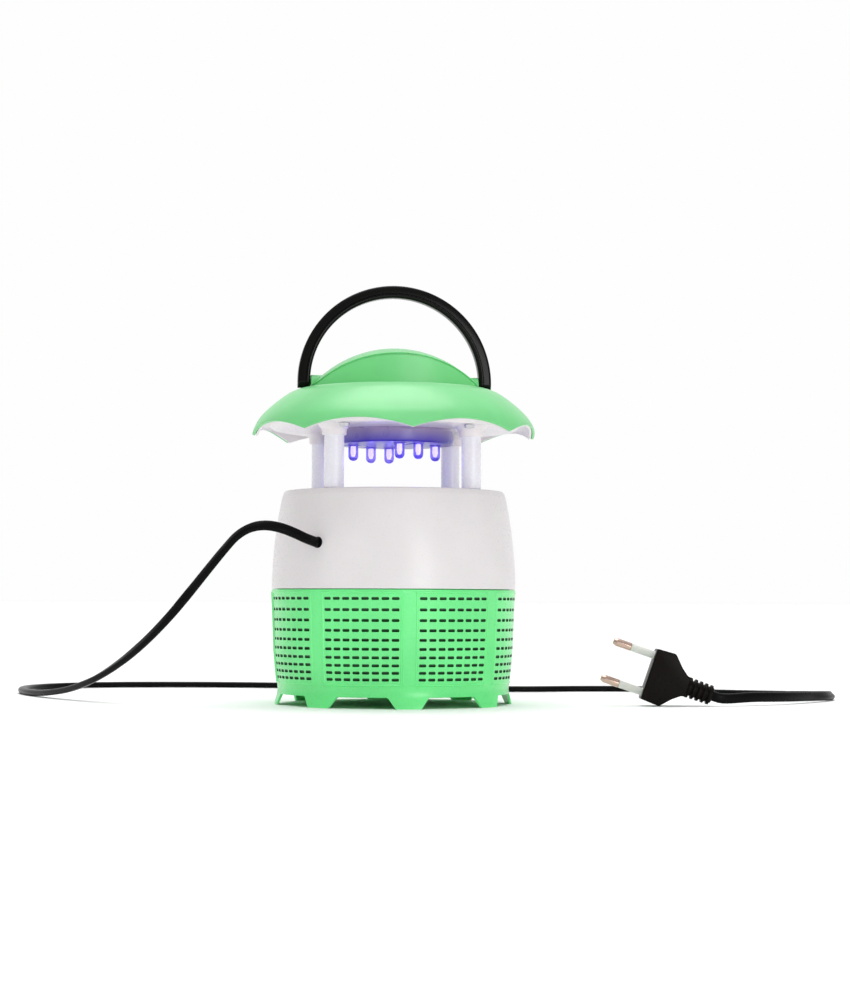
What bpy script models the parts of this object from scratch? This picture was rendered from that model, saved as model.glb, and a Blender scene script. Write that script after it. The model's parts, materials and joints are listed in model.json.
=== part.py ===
"""A fan-suction insect trap: shade with violet lamps, pillars, fan housing, slotted basket, mains cord.

Lengths are in metres and +Z is up. The feet stand on z = 0, the front faces -Y, and Z is the main axis.
An azimuth is counted in degrees from the front towards +X.
"""

import math

import bmesh
import bpy
from mathutils import Matrix, Vector

GAP = 0.0003
STEPS = 32

# Basket
BASKET_TOP = 0.0567
BASKET_RADIUS = 0.06075
COLLAR_RADIUS = 0.0582
COLLAR_TOP = 0.0635
FLOOR_TOP = 0.0078
FEET = 8
NOTCH_HEIGHT = 0.0055
NOTCH_WIDE = 0.0335
NOTCH_NARROW = 0.024
SLOT_ROWS = 3
SLOT_WIDTH = 0.034
SLOT_HEIGHT = 0.006
SLOT_LOW = 0.0165
SLOT_PITCH = 0.013

# Fan housing
HOUSING_LOW = 0.057
DECK_TOP = 0.1055
DECK_UNDER = 0.1035
DUCT_RADIUS = 0.0383
DUCT_OUTSIDE = 0.0401
DUCT_LOW = 0.064
GUARD_SEAT = 0.1
CORD_AZIMUTH = -45
CORD_HEIGHT = 0.079
HOUSING_RADIUS_AT_CORD = 0.0597
POST_AZIMUTHS = (0, 100, -100)
POST_RING = 0.0453
POST_RADIUS = 0.0028
PLATE_LOW = 0.065
PLATE_TOP = 0.0666

# Fan and motor
MOTOR_RADIUS = 0.0123
MOTOR_LOW = 0.0838
MOTOR_TOP = GUARD_SEAT
SHAFT_RADIUS = 0.001
SHAFT_BORE = 0.00108
HUB_RADIUS = 0.013
HUB_LOW = 0.07
HUB_TOP = 0.082
BLADES = 7
BLADE_TIP = 0.0368
BLADE_LOW = 0.0715
BLADE_TOP = 0.0805
GUARD_TOP = 0.1026
SPOKES = 6

# Supply board, standing behind the duct
BOARD_Y = 0.0465
BOARD_THICK = 0.0016
BOARD_LOW = 0.068
BOARD_TOP = 0.094
BOARD_HALF_WIDTH = 0.019
BOARD_SCREWS = ((-0.015, 0.089), (0.015, 0.089))

# Pillars
PILLAR_RADIUS = 0.0048
PILLAR_RING = 0.0475
PILLAR_TOP = 0.1347
PILLAR_AZIMUTHS = (-45, 45, 135, -135)
WIRE_PILLAR = 3
SCREW_BORE = 0.0016
WIRE_BORE = 0.0026

# Shade
CEILING = 0.1363
LINER_TOP = 0.1379
CUP_RADIUS = 0.0297
CUP_LOW = 0.129
CUP_FLOOR = 0.1306
CUP_WALL = 0.0016
COLLAR_LOW = 0.131
TIP_RADIUS = 0.0713
ARCH_TOP = 0.1382
ARCH_RADIUS = 0.0765
BORDER = 0.0008
COVER_TOP = 0.1566
COVER_UNDER = 0.155
SHADE_SCREW_RING = 0.057
SHADE_SCREW_AZIMUTHS = (-32, 32, 148, -148)

# Dome and handle
DOME_SPHERE = 0.0552
DOME_PEAK = 0.1774
DOME_BASE = 0.042
LENS_RADIUS = 0.1
LENS_HALF_DEPTH = 0.02
DOME_WALL = 0.0018
PIVOT_Z = 0.1603
PIVOT_RADIUS = 0.0018
PIVOT_BORE = 0.0019
BOSS_END = 0.0423
HANDLE_RADIUS = 0.0457
HANDLE_THICK = 0.0062
HANDLE_WIDE = 0.0064
HANDLE_EDGE = 0.0009
BAIL_STEPS = 32

# Lamps
LED_RING = 0.0205
LED_AZIMUTHS = (0, 28, 84, 180, 208, 264)
LED_TIP = 0.121
LED_FLANGE = 0.1286
LED_RADIUS = 0.0025
LED_BOARD_LOW = 0.1392
LED_BOARD_TOP = 0.1408
LED_BOARD_RADIUS = 0.027
LED_BOARD_SCREWS = ((-0.01, 0.0), (0.01, 0.0))

# Mains cord and plug
CORD_RADIUS = 0.00175
CORD_FLOOR = 0.0018
CORD_POINTS = 78
PLUG_FACE = (0.1225, -0.0308, 0.016)
PLUG_TILT = 19.0
PLUG_TURN = -7.3
PLUG_THICK = 0.012
PLUG_BODY_LENGTH = 0.02
RELIEF_LENGTH = 0.0135
PLUG_LENGTH = PLUG_BODY_LENGTH + RELIEF_LENGTH
PIN_SPACING = 0.019
PIN_RADIUS = 0.002
PIN_CORE = 0.0012
PIN_DEPTH = 0.005
PIN_RECESS = 0.0012
PIN_LENGTH = 0.0212
SLEEVE_LENGTH = 0.0112

for old in list(bpy.data.objects):
    bpy.data.objects.remove(old, do_unlink=True)

parts = bpy.data.collections.new("electric_bug_zapper")
cutters = bpy.data.collections.new("cutters")
bpy.context.scene.collection.children.link(parts)
bpy.context.scene.collection.children.link(cutters)


def material(name, colour, roughness, metallic=0.0):
    """A Principled material in one colour."""
    made = bpy.data.materials.new(name)
    made.use_nodes = True
    shader = made.node_tree.nodes["Principled BSDF"]
    shader.inputs["Base Color"].default_value = (*colour, 1)
    shader.inputs["Roughness"].default_value = roughness
    shader.inputs["Metallic"].default_value = metallic
    made.diffuse_color = (*colour, 1)
    return made


GREEN = material("green_plastic", (0.2, 0.72, 0.26), 0.35)
WHITE = material("white_plastic", (0.8, 0.76, 0.79), 0.35)
FROSTED = material("frosted_plastic", (0.85, 0.86, 0.95), 0.3)
BLACK = material("black_plastic", (0.01, 0.01, 0.012), 0.25)
RUBBER = material("black_cord", (0.012, 0.012, 0.014), 0.4)
VIOLET = material("violet_lamp", (0.35, 0.25, 0.9), 0.1)
GREY = material("grey_plastic", (0.45, 0.46, 0.48), 0.45)
BOARD = material("circuit_board", (0.05, 0.25, 0.12), 0.4)
STEEL = material("steel", (0.6, 0.6, 0.62), 0.3, 1.0)
NICKEL = material("plug_metal", (0.75, 0.7, 0.66), 0.25, 1.0)
SLEEVE = material("pin_sleeve", (0.75, 0.77, 0.72), 0.4)


def around(azimuth, radius, height=0.0):
    """The point at an azimuth, a distance from the main axis and a height."""
    a = math.radians(azimuth)
    return Vector((radius * math.sin(a), -radius * math.cos(a), height))


def outward(azimuth):
    """The rotation that turns local X outward along an azimuth and keeps Z up."""
    return Matrix.Rotation(math.radians(azimuth - 90), 4, "Z")


def placed(name, mesh, mat, collection=parts):
    """Links a mesh as an object with its material."""
    mesh.name = name
    made = bpy.data.objects.new(name, mesh)
    collection.objects.link(made)
    mesh.materials.clear()
    mesh.materials.append(mat)
    if collection == cutters:
        made.hide_render = True
        made.display_type = "WIRE"
    return made


def frozen(made, mat, collection=parts):
    """The object's evaluated shape as a plain mesh object in its place."""
    name = made.name
    bpy.context.view_layer.update()
    graph = bpy.context.evaluated_depsgraph_get()
    mesh = bpy.data.meshes.new_from_object(made.evaluated_get(graph))
    matrix = made.matrix_world.copy()
    bm = bmesh.new()
    bm.from_mesh(mesh)
    bmesh.ops.remove_doubles(bm, verts=bm.verts, dist=0.000001)
    bm.to_mesh(mesh)
    bm.free()
    bpy.data.objects.remove(made, do_unlink=True)
    made = placed(name, mesh, mat, collection)
    made.matrix_world = matrix
    return made


def smooth(made, angle=35):
    """Rounds the shading of every edge flatter than the angle."""
    made.data.shade_smooth()
    made.data.set_sharp_from_angle(angle=math.radians(angle))


def turned(name, profile, mat, closed=True, steps=STEPS, collection=parts):
    """A profile of (radius, height) turned about Z, running down its outer side."""
    bm = bmesh.new()
    corners = [bm.verts.new((r, 0, z)) for r, z in profile]
    for first, second in zip(corners, corners[1:]):
        bm.edges.new((first, second))
    if closed:
        bm.edges.new((corners[-1], corners[0]))
    mesh = bpy.data.meshes.new(name)
    bm.to_mesh(mesh)
    bm.free()
    made = placed(name, mesh, mat, collection)
    turn = made.modifiers.new("turn", "SCREW")
    turn.steps = steps
    turn.render_steps = steps
    turn.use_merge_vertices = True
    turn.merge_threshold = 0.000005
    return frozen(made, mat, collection)


def solids(name, mat, build, collection=cutters):
    """An object of the closed solids that build adds to an empty bmesh."""
    bm = bmesh.new()
    build(bm)
    bmesh.ops.recalc_face_normals(bm, faces=bm.faces)
    mesh = bpy.data.meshes.new(name)
    bm.to_mesh(mesh)
    bm.free()
    return placed(name, mesh, mat, collection)


def rod(bm, radius, start, end, segments=16):
    """A closed cylinder between two points."""
    start, end = Vector(start), Vector(end)
    along = end - start
    turn = along.to_track_quat("Z", "Y").to_matrix().to_4x4()
    bmesh.ops.create_cone(
        bm,
        cap_ends=True,
        segments=segments,
        radius1=radius,
        radius2=radius,
        depth=along.length,
        matrix=Matrix.Translation((start + end) / 2) @ turn,
    )


def block(bm, low, high, matrix=None):
    """A closed box between two corners."""
    low, high = Vector(low), Vector(high)
    place = Matrix.Translation((low + high) / 2) @ Matrix.Diagonal((*(high - low), 1))
    bmesh.ops.create_cube(bm, size=1, matrix=place if matrix is None else matrix @ place)


def combine(made, other, operation):
    """Adds an exact Boolean of the other object to this one."""
    step = made.modifiers.new(operation.lower(), "BOOLEAN")
    step.operation = operation
    step.solver = "EXACT"
    step.object = other


def smooth_line(points, count):
    """Evenly spaced points on a smooth curve through the given ones."""
    points = [Vector(p) for p in points]
    ends = [points[0] * 2 - points[1], *points, points[-1] * 2 - points[-2]]
    fine = []
    for a, b, c, d in zip(ends, ends[1:], ends[2:], ends[3:]):
        for step in range(16):
            t = step / 16
            fine.append(
                0.5 * (2 * b + (c - a) * t + (2 * a - 5 * b + 4 * c - d) * t**2
                       + (3 * b - a - 3 * c + d) * t**3)
            )
    fine.append(points[-1])
    along = [0.0]
    for first, second in zip(fine, fine[1:]):
        along.append(along[-1] + (second - first).length)
    line, i = [], 0
    for k in range(count):
        want = along[-1] * k / (count - 1)
        while i < len(fine) - 2 and along[i + 1] < want:
            i += 1
        share = (want - along[i]) / (along[i + 1] - along[i])
        line.append(fine[i].lerp(fine[i + 1], share))
    return line


def tube(name, points, radius, mat, resolution=2):
    """A round tube with filled ends along the points."""
    curve = bpy.data.curves.new(name, "CURVE")
    curve.dimensions = "3D"
    curve.bevel_depth = radius
    curve.bevel_resolution = resolution
    curve.use_fill_caps = True
    spline = curve.splines.new("POLY")
    spline.points.add(len(points) - 1)
    for target, p in zip(spline.points, points):
        target.co = (*p, 1)
    made = bpy.data.objects.new(name, curve)
    parts.objects.link(made)
    made = frozen(made, mat)
    smooth(made, 50)
    return made


def screw(name, top, direction, length, head_radius, shank_radius, mat=STEEL):
    """A pan-head screw whose head's inner face is at top and whose shank runs along direction."""
    head = 0.0016
    profile = [
        (0, head),
        (head_radius * 0.85, head),
        (head_radius, 0),
        (shank_radius, 0),
        (shank_radius, -length),
        (0, -length),
    ]
    made = turned(name, profile, mat, closed=False, steps=8)
    turn = (-Vector(direction)).to_track_quat("Z", "Y").to_matrix().to_4x4()
    made.matrix_world = Matrix.Translation(top) @ turn
    smooth(made)
    return made


def basket():
    """The collecting basket: a drawn-in drum with eight slotted panels and eight feet."""
    made = turned(
        "basket",
        [
            (0, FLOOR_TOP),
            (0.0554, FLOOR_TOP),
            (0.0574, 0.023),
            (0.0578, 0.045),
            (0.0566, 0.054),
            (0.0566, COLLAR_TOP),
            (COLLAR_RADIUS, COLLAR_TOP),
            (COLLAR_RADIUS, BASKET_TOP),
            (BASKET_RADIUS, BASKET_TOP),
            (0.0602, 0.047),
            (0.0594, 0.026),
            (0.0584, 0.015),
            (0.0573, 0.007),
            (0.0592, 0),
            (0.0574, 0),
            (0.0554, 0.006),
            (0, 0.006),
        ],
        GREEN,
        closed=False,
    )

    def notches(bm):
        for k in range(FEET):
            azimuth = (k + 0.5) * 360 / FEET
            bottom, top = -0.001, NOTCH_HEIGHT
            grow = (NOTCH_WIDE - NOTCH_NARROW) / NOTCH_HEIGHT * -bottom
            before = set(bm.verts)
            block(bm, (0.05, -0.5, bottom), (0.064, 0.5, top))
            for v in set(bm.verts) - before:
                half = (NOTCH_NARROW if v.co.z > 0 else NOTCH_WIDE + grow) / 2
                v.co.y = math.copysign(half, v.co.y)
                v.co = outward(azimuth) @ v.co

    def slots(bm):
        for k in range(FEET):
            turn = outward((k + 0.5) * 360 / FEET)
            for row in range(SLOT_ROWS):
                low = SLOT_LOW + row * SLOT_PITCH
                block(
                    bm,
                    (0.048, -SLOT_WIDTH / 2, low),
                    (0.066, SLOT_WIDTH / 2, low + SLOT_HEIGHT),
                    turn,
                )

    combine(made, solids("foot_notches", GREEN, notches), "DIFFERENCE")
    combine(made, solids("basket_slots", GREEN, slots), "DIFFERENCE")
    smooth(made)


def housing():
    """The barrel with its deck and the fan duct, moulded as one piece."""
    made = turned(
        "housing",
        [
            (0.053, DECK_TOP),
            (0.0546, 0.105),
            (0.0558, 0.103),
            (0.0578, 0.091),
            (HOUSING_RADIUS_AT_CORD, CORD_HEIGHT),
            (0.0604, 0.068),
            (BASKET_RADIUS, HOUSING_LOW),
            (0.05875, HOUSING_LOW),
            (0.0577, CORD_HEIGHT),
            (0.0558, 0.091),
            (0.0525, DECK_UNDER),
            (0.0429, DECK_UNDER),
            (0.0429, 0.0979),
            (DUCT_OUTSIDE, 0.097),
            (DUCT_OUTSIDE, DUCT_LOW),
            (DUCT_RADIUS, DUCT_LOW),
            (DUCT_RADIUS, GUARD_SEAT),
            (0.0407, GUARD_SEAT),
            (0.0407, 0.1039),
            (0.0423, DECK_TOP),
        ],
        WHITE,
    )

    def posts(bm):
        for azimuth in POST_AZIMUTHS:
            foot = around(azimuth, POST_RING, PLATE_TOP + GAP)
            rod(bm, POST_RADIUS, foot, around(azimuth, POST_RING, DECK_UNDER + 0.001), 12)
        for x, z in BOARD_SCREWS:
            rod(bm, 0.0025, (x, 0.0366, z), (x, BOARD_Y - BOARD_THICK / 2 - GAP, z), 12)

    def holes(bm):
        for azimuth in POST_AZIMUTHS:
            foot = around(azimuth, POST_RING, PLATE_TOP - 0.001)
            rod(bm, 0.0014, foot, around(azimuth, POST_RING, PLATE_TOP + 0.01), 12)
        for x, z in BOARD_SCREWS:
            rod(bm, 0.0014, (x, 0.0405, z), (x, 0.06, z), 12)
        for k, azimuth in enumerate(PILLAR_AZIMUTHS, 1):
            bore = WIRE_BORE if k == WIRE_PILLAR else SCREW_BORE
            low = around(azimuth, PILLAR_RING, 0.1)
            rod(bm, bore, low, around(azimuth, PILLAR_RING, 0.11), 12)
        inner = around(CORD_AZIMUTH, 0.054, CORD_HEIGHT)
        rod(bm, 0.0033, inner, around(CORD_AZIMUTH, 0.064, CORD_HEIGHT), 16)
        rod(bm, 0.0014, (0, 0.037, 0.094), (0, 0.0416, 0.094), 12)

    combine(made, solids("housing_posts", WHITE, posts), "UNION")
    combine(made, solids("housing_holes", WHITE, holes), "DIFFERENCE")
    smooth(made)


def base_plate():
    """The ring that closes the wiring space under the housing, with its three screws."""
    made = turned(
        "base_plate",
        [(0.058, PLATE_TOP), (0.058, PLATE_LOW), (0.0404, PLATE_LOW), (0.0404, PLATE_TOP)],
        WHITE,
    )

    def holes(bm):
        for azimuth in POST_AZIMUTHS:
            low = around(azimuth, POST_RING, PLATE_LOW - 0.001)
            rod(bm, 0.0015, low, around(azimuth, POST_RING, PLATE_TOP + 0.001), 12)

    combine(made, solids("plate_holes", WHITE, holes), "DIFFERENCE")
    for k, azimuth in enumerate(POST_AZIMUTHS, 1):
        top = around(azimuth, POST_RING, PLATE_LOW - GAP)
        screw(f"plate_screw_{k}", top, (0, 0, 1), 0.009, 0.0028, 0.0011)


def fan():
    """The finger guard that carries the motor, the motor, its shaft and the impeller below it."""
    guard = turned(
        "fan_guard",
        [
            (0.0404, GUARD_TOP),
            (0.0404, GUARD_SEAT + GAP),
            (0.0386, GUARD_SEAT + GAP),
            (0.0386, GUARD_TOP),
        ],
        WHITE,
    )

    def frame(bm):
        for k in range(SPOKES):
            turn = outward(k * 360 / SPOKES)
            block(bm, (0.0135, -0.0011, GUARD_SEAT + GAP), (0.0391, 0.0011, GUARD_TOP), turn)

    hub = turned(
        "guard_hub",
        [
            (0, GUARD_TOP),
            (0.0146, GUARD_TOP),
            (0.0146, 0.094),
            (0.0127, 0.094),
            (0.0127, GUARD_SEAT + GAP),
            (0, GUARD_SEAT + GAP),
        ],
        WHITE,
        closed=False,
        steps=24,
        collection=cutters,
    )
    ring = turned(
        "guard_ring",
        [(0.0272, GUARD_TOP), (0.0272, 0.1008), (0.0256, 0.1008), (0.0256, GUARD_TOP)],
        WHITE,
        steps=24,
        collection=cutters,
    )

    def screw_holes(bm):
        for x in (-0.006, 0.006):
            rod(bm, 0.0011, (x, 0, 0.09), (x, 0, 0.11), 12)

    combine(guard, solids("guard_spokes", WHITE, frame), "UNION")
    combine(guard, hub, "UNION")
    combine(guard, ring, "UNION")
    combine(guard, solids("guard_screw_holes", WHITE, screw_holes), "DIFFERENCE")

    motor = turned(
        "fan_motor",
        [
            (0.0115, MOTOR_TOP),
            (MOTOR_RADIUS, MOTOR_TOP - 0.0008),
            (MOTOR_RADIUS, MOTOR_LOW + 0.0008),
            (0.0115, MOTOR_LOW),
            (SHAFT_BORE, MOTOR_LOW),
            (SHAFT_BORE, MOTOR_TOP),
        ],
        STEEL,
        steps=24,
    )

    def motor_holes(bm):
        for x in (-0.006, 0.006):
            rod(bm, 0.0011, (x, 0, MOTOR_TOP - 0.004), (x, 0, 0.11), 12)

    combine(motor, solids("motor_screw_holes", STEEL, motor_holes), "DIFFERENCE")
    smooth(motor)
    for k, x in enumerate((-0.006, 0.006), 1):
        screw(f"motor_screw_{k}", (x, 0, GUARD_TOP + GAP), (0, 0, -1), 0.005, 0.0018, 0.0008)

    shaft = solids(
        "motor_shaft",
        STEEL,
        lambda bm: rod(bm, SHAFT_RADIUS, (0, 0, HUB_LOW + 0.002), (0, 0, MOTOR_TOP - 0.005), 24),
        parts,
    )
    smooth(shaft)

    impeller = turned(
        "fan_impeller",
        [
            (HUB_RADIUS - 0.001, HUB_TOP),
            (HUB_RADIUS, HUB_TOP - 0.001),
            (HUB_RADIUS, HUB_LOW),
            (0.0115, HUB_LOW),
            (0.0115, 0.08),
            (0.0032, 0.08),
            (0.0032, 0.073),
            (SHAFT_BORE, 0.073),
            (SHAFT_BORE, HUB_TOP),
        ],
        GREY,
        steps=24,
    )
    combine(impeller, blades(), "UNION")
    smooth(impeller)


def blades():
    """The impeller's pitched blades, each a curved plate that widens towards its tip."""
    bm = bmesh.new()
    root, chord_root, chord_tip = 0.0122, 38, 26
    for k in range(BLADES):
        grid = bmesh.ops.create_grid(bm, x_segments=2, y_segments=2, size=0.5)
        for v in grid["verts"]:
            out, across = v.co.x + 0.5, v.co.y
            radius = root + (BLADE_TIP - root) * out
            chord = chord_root + (chord_tip - chord_root) * out
            height = (BLADE_LOW + BLADE_TOP) / 2 + (BLADE_TOP - BLADE_LOW) * across
            v.co = around(k * 360 / BLADES + chord * across, radius, height)
    mesh = bpy.data.meshes.new("blades")
    bm.to_mesh(mesh)
    bm.free()
    made = placed("blades", mesh, GREY, cutters)
    thick = made.modifiers.new("thick", "SOLIDIFY")
    thick.thickness = 0.0013
    thick.offset = 0
    made = frozen(made, GREY, cutters)
    bm = bmesh.new()
    bm.from_mesh(made.data)
    bmesh.ops.recalc_face_normals(bm, faces=bm.faces)
    bm.to_mesh(made.data)
    bm.free()
    return made


def supply():
    """The supply board behind the duct, its transformer and capacitor, and the three inner leads."""
    face = BOARD_Y + BOARD_THICK / 2
    board = solids(
        "supply_board",
        BOARD,
        lambda bm: block(
            bm,
            (-BOARD_HALF_WIDTH, BOARD_Y - BOARD_THICK / 2, BOARD_LOW),
            (BOARD_HALF_WIDTH, face, BOARD_TOP),
        ),
        parts,
    )

    def holes(bm):
        for x, z in BOARD_SCREWS:
            rod(bm, 0.0015, (x, 0.045, z), (x, 0.048, z), 12)

    combine(board, solids("board_holes", BOARD, holes), "DIFFERENCE")
    for k, (x, z) in enumerate(BOARD_SCREWS, 1):
        screw(f"board_screw_{k}", (x, face + GAP, z), (0, -1, 0), 0.006, 0.0026, 0.0011)

    def core(bm):
        block(bm, (-0.010, face + GAP, 0.07), (0.004, face + 0.0062, 0.082))
        bmesh.ops.bevel(bm, geom=list(bm.edges), offset=0.0006, segments=1, affect="EDGES")

    solids("supply_transformer", GREY, core, parts)

    can = solids(
        "supply_capacitor",
        BLACK,
        lambda bm: rod(bm, 0.0034, (0.0115, face + 0.0037, 0.07), (0.0115, face + 0.0037, 0.082), 16),
        parts,
    )
    smooth(can)

    wire_x, wire_y, _ = around(PILLAR_AZIMUTHS[WIRE_PILLAR - 1], PILLAR_RING)
    edge_x, edge_y, _ = around(PILLAR_AZIMUTHS[WIRE_PILLAR - 1], 0.025)
    lamp_lead = [
        (0.0165, BOARD_Y, BOARD_TOP + 2 * GAP),
        (0.0167, 0.0464, 0.0962),
        (0.0205, 0.0446, 0.0986),
        (0.0272, 0.0396, 0.099),
        (0.0318, 0.0355, 0.0998),
        (wire_x, wire_y, 0.102),
        (wire_x, wire_y, 0.108),
        (wire_x, wire_y, 0.12),
        (wire_x, wire_y, 0.132),
        (wire_x, wire_y, 0.138),
        (wire_x * 0.93, wire_y * 0.93, 0.1415),
        (edge_x, edge_y, 0.1421),
        (edge_x * 0.72, edge_y * 0.72, 0.1421),
    ]
    tube("lamp_lead", smooth_line(lamp_lead, 24), 0.0009, RUBBER)

    fan_lead = [
        (0, BOARD_Y - BOARD_THICK / 2 - 2 * GAP, 0.092),
        (0, 0.0436, 0.0921),
        (0, 0.0414, 0.0936),
        (0, 0.0392, 0.094),
        (0, 0.0365, 0.0944),
        (0, 0.032, 0.0975),
        (0, 0.026, 0.0986),
        (0, 0.0195, 0.0975),
        (0, 0.0163, 0.0945),
        (0, 0.0146, 0.0915),
        (0, 0.0135, 0.0895),
    ]
    tube("fan_lead", smooth_line(fan_lead, 16), 0.0008, RUBBER)

    mains_lead = [around(CORD_AZIMUTH, r, CORD_HEIGHT) for r in (0.0541, 0.0522)]
    mains_lead += [around(a, 0.0508, CORD_HEIGHT) for a in (-54, -66, -80, -95, -110, -125, -140)]
    mains_lead += [around(-150, 0.0508, CORD_HEIGHT)]
    mains_lead += [Vector((x, BOARD_Y, CORD_HEIGHT)) for x in (-0.0222, -BOARD_HALF_WIDTH - 3 * GAP)]
    tube("mains_lead", smooth_line(mains_lead, 24), 0.0016, RUBBER)


def pillars():
    """Four hollow pillars between the deck and the shade, and the screws at their ends."""
    for k, azimuth in enumerate(PILLAR_AZIMUTHS, 1):
        bore = WIRE_BORE if k == WIRE_PILLAR else SCREW_BORE
        made = turned(
            f"pillar_{k}",
            [
                (PILLAR_RADIUS, PILLAR_TOP),
                (PILLAR_RADIUS, DECK_TOP + GAP),
                (bore, DECK_TOP + GAP),
                (bore, PILLAR_TOP),
            ],
            FROSTED,
            steps=16,
        )
        made.location = around(azimuth, PILLAR_RING)
        smooth(made)
        if k != WIRE_PILLAR:
            low = around(azimuth, PILLAR_RING, DECK_UNDER - GAP)
            screw(f"pillar_low_screw_{k}", low, (0, 0, 1), 0.011, 0.0029, 0.0013)
            high = around(azimuth, PILLAR_RING, LINER_TOP + GAP)
            screw(f"pillar_top_screw_{k}", high, (0, 0, -1), 0.011, 0.0029, 0.0013)


def arches(name, top):
    """Two groups of four cutters that scallop a rim between its eight tips."""
    groups = []
    for half in range(2):

        def group(bm, first=half):
            for k in range(first, FEET, 2):
                azimuth = (k + 0.5) * 360 / FEET
                inner = around(azimuth, 0.0625, top - ARCH_RADIUS)
                rod(bm, ARCH_RADIUS, inner, around(azimuth, 0.08, top - ARCH_RADIUS), 40)

        groups.append(solids(f"{name}_{half}", WHITE, group))
    return groups


def shade_liner():
    """The white lining: ceiling, scalloped rim, four pillar sockets and the lamps' cup with six holes."""
    made = turned(
        "shade_liner",
        [
            (0, CUP_FLOOR),
            (CUP_RADIUS - CUP_WALL, CUP_FLOOR),
            (CUP_RADIUS - CUP_WALL, LINER_TOP),
            (0.0603, LINER_TOP),
            (0.0625, 0.1389),
            (0.0655, 0.1394),
            (0.0673, 0.1383),
            (0.06865, 0.1361),
            (0.06955, 0.132),
            (0.0684, 0.132),
            (0.06745, 0.1358),
            (0.0663, 0.1373),
            (0.0644, 0.1379),
            (0.0620, 0.1375),
            (0.0605, CEILING),
            (CUP_RADIUS, CEILING),
            (CUP_RADIUS, CUP_LOW),
            (0, CUP_LOW),
        ],
        WHITE,
        closed=False,
    )

    def sockets(bm):
        for azimuth in PILLAR_AZIMUTHS:
            low = around(azimuth, PILLAR_RING, COLLAR_LOW)
            rod(bm, 0.0059, low, around(azimuth, PILLAR_RING, CEILING + 0.0006), 16)
        for x, y in LED_BOARD_SCREWS:
            rod(bm, 0.0024, (x, y, CUP_FLOOR - 0.0006), (x, y, LED_BOARD_LOW - GAP), 12)

    def holes(bm):
        for azimuth in PILLAR_AZIMUTHS:
            low = around(azimuth, PILLAR_RING, COLLAR_LOW - 0.001)
            rod(bm, PILLAR_RADIUS + GAP, low, around(azimuth, PILLAR_RING, PILLAR_TOP + GAP), 16)
        for azimuth in LED_AZIMUTHS:
            low = around(azimuth, LED_RING, CUP_LOW - 0.001)
            rod(bm, 0.0031, low, around(azimuth, LED_RING, CUP_FLOOR + 0.001), 12)
        for azimuth in SHADE_SCREW_AZIMUTHS:
            low = around(azimuth, SHADE_SCREW_RING, CEILING - 0.001)
            rod(bm, 0.0015, low, around(azimuth, SHADE_SCREW_RING, LINER_TOP + 0.001), 12)

    def bores(bm):
        for k, azimuth in enumerate(PILLAR_AZIMUTHS, 1):
            bore = WIRE_BORE if k == WIRE_PILLAR else SCREW_BORE
            low = around(azimuth, PILLAR_RING, PILLAR_TOP)
            rod(bm, bore, low, around(azimuth, PILLAR_RING, LINER_TOP + 0.001), 12)
        for x, y in LED_BOARD_SCREWS:
            rod(bm, 0.0012, (x, y, LED_BOARD_LOW - 0.004), (x, y, LED_BOARD_LOW), 12)

    combine(made, solids("liner_sockets", WHITE, sockets), "UNION")
    combine(made, solids("liner_holes", WHITE, holes), "DIFFERENCE")
    combine(made, solids("liner_bores", WHITE, bores), "DIFFERENCE")
    for group in arches("liner_arches", ARCH_TOP - BORDER):
        combine(made, group, "DIFFERENCE")
    smooth(made)
    for k, azimuth in enumerate(SHADE_SCREW_AZIMUTHS, 1):
        top = around(azimuth, SHADE_SCREW_RING, CEILING - GAP)
        screw(f"shade_screw_{k}", top, (0, 0, 1), 0.008, 0.0027, 0.0011)


def dome(name, inset):
    """The domed grip block, a spherical cap narrowed to a lens in plan, or its hollow."""
    sphere = DOME_SPHERE - inset
    centre = DOME_PEAK - DOME_SPHERE
    base = DOME_BASE - inset
    low = COVER_UNDER + 0.0005 if inset == 0 else COVER_UNDER - 0.002
    start = math.acos(base / sphere)
    arc = [start + (math.pi / 2 - start) * k / 6 for k in range(7)]
    profile = [(sphere * math.cos(a), centre + sphere * math.sin(a)) for a in reversed(arc)]
    profile[0] = (0, profile[0][1])
    profile += [(base, low), (0, low)]
    made = turned(name, profile, GREEN, closed=False, collection=cutters)
    for side in (-1, 1):
        middle = (0, side * (LENS_RADIUS - LENS_HALF_DEPTH))

        def lens(bm, at=middle):
            rod(bm, LENS_RADIUS - inset, (*at, 0.14), (*at, 0.19), 64)

        combine(made, solids(f"{name}_lens_{side + 1}", GREEN, lens), "INTERSECT")
    return frozen(made, GREEN, cutters)


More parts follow.
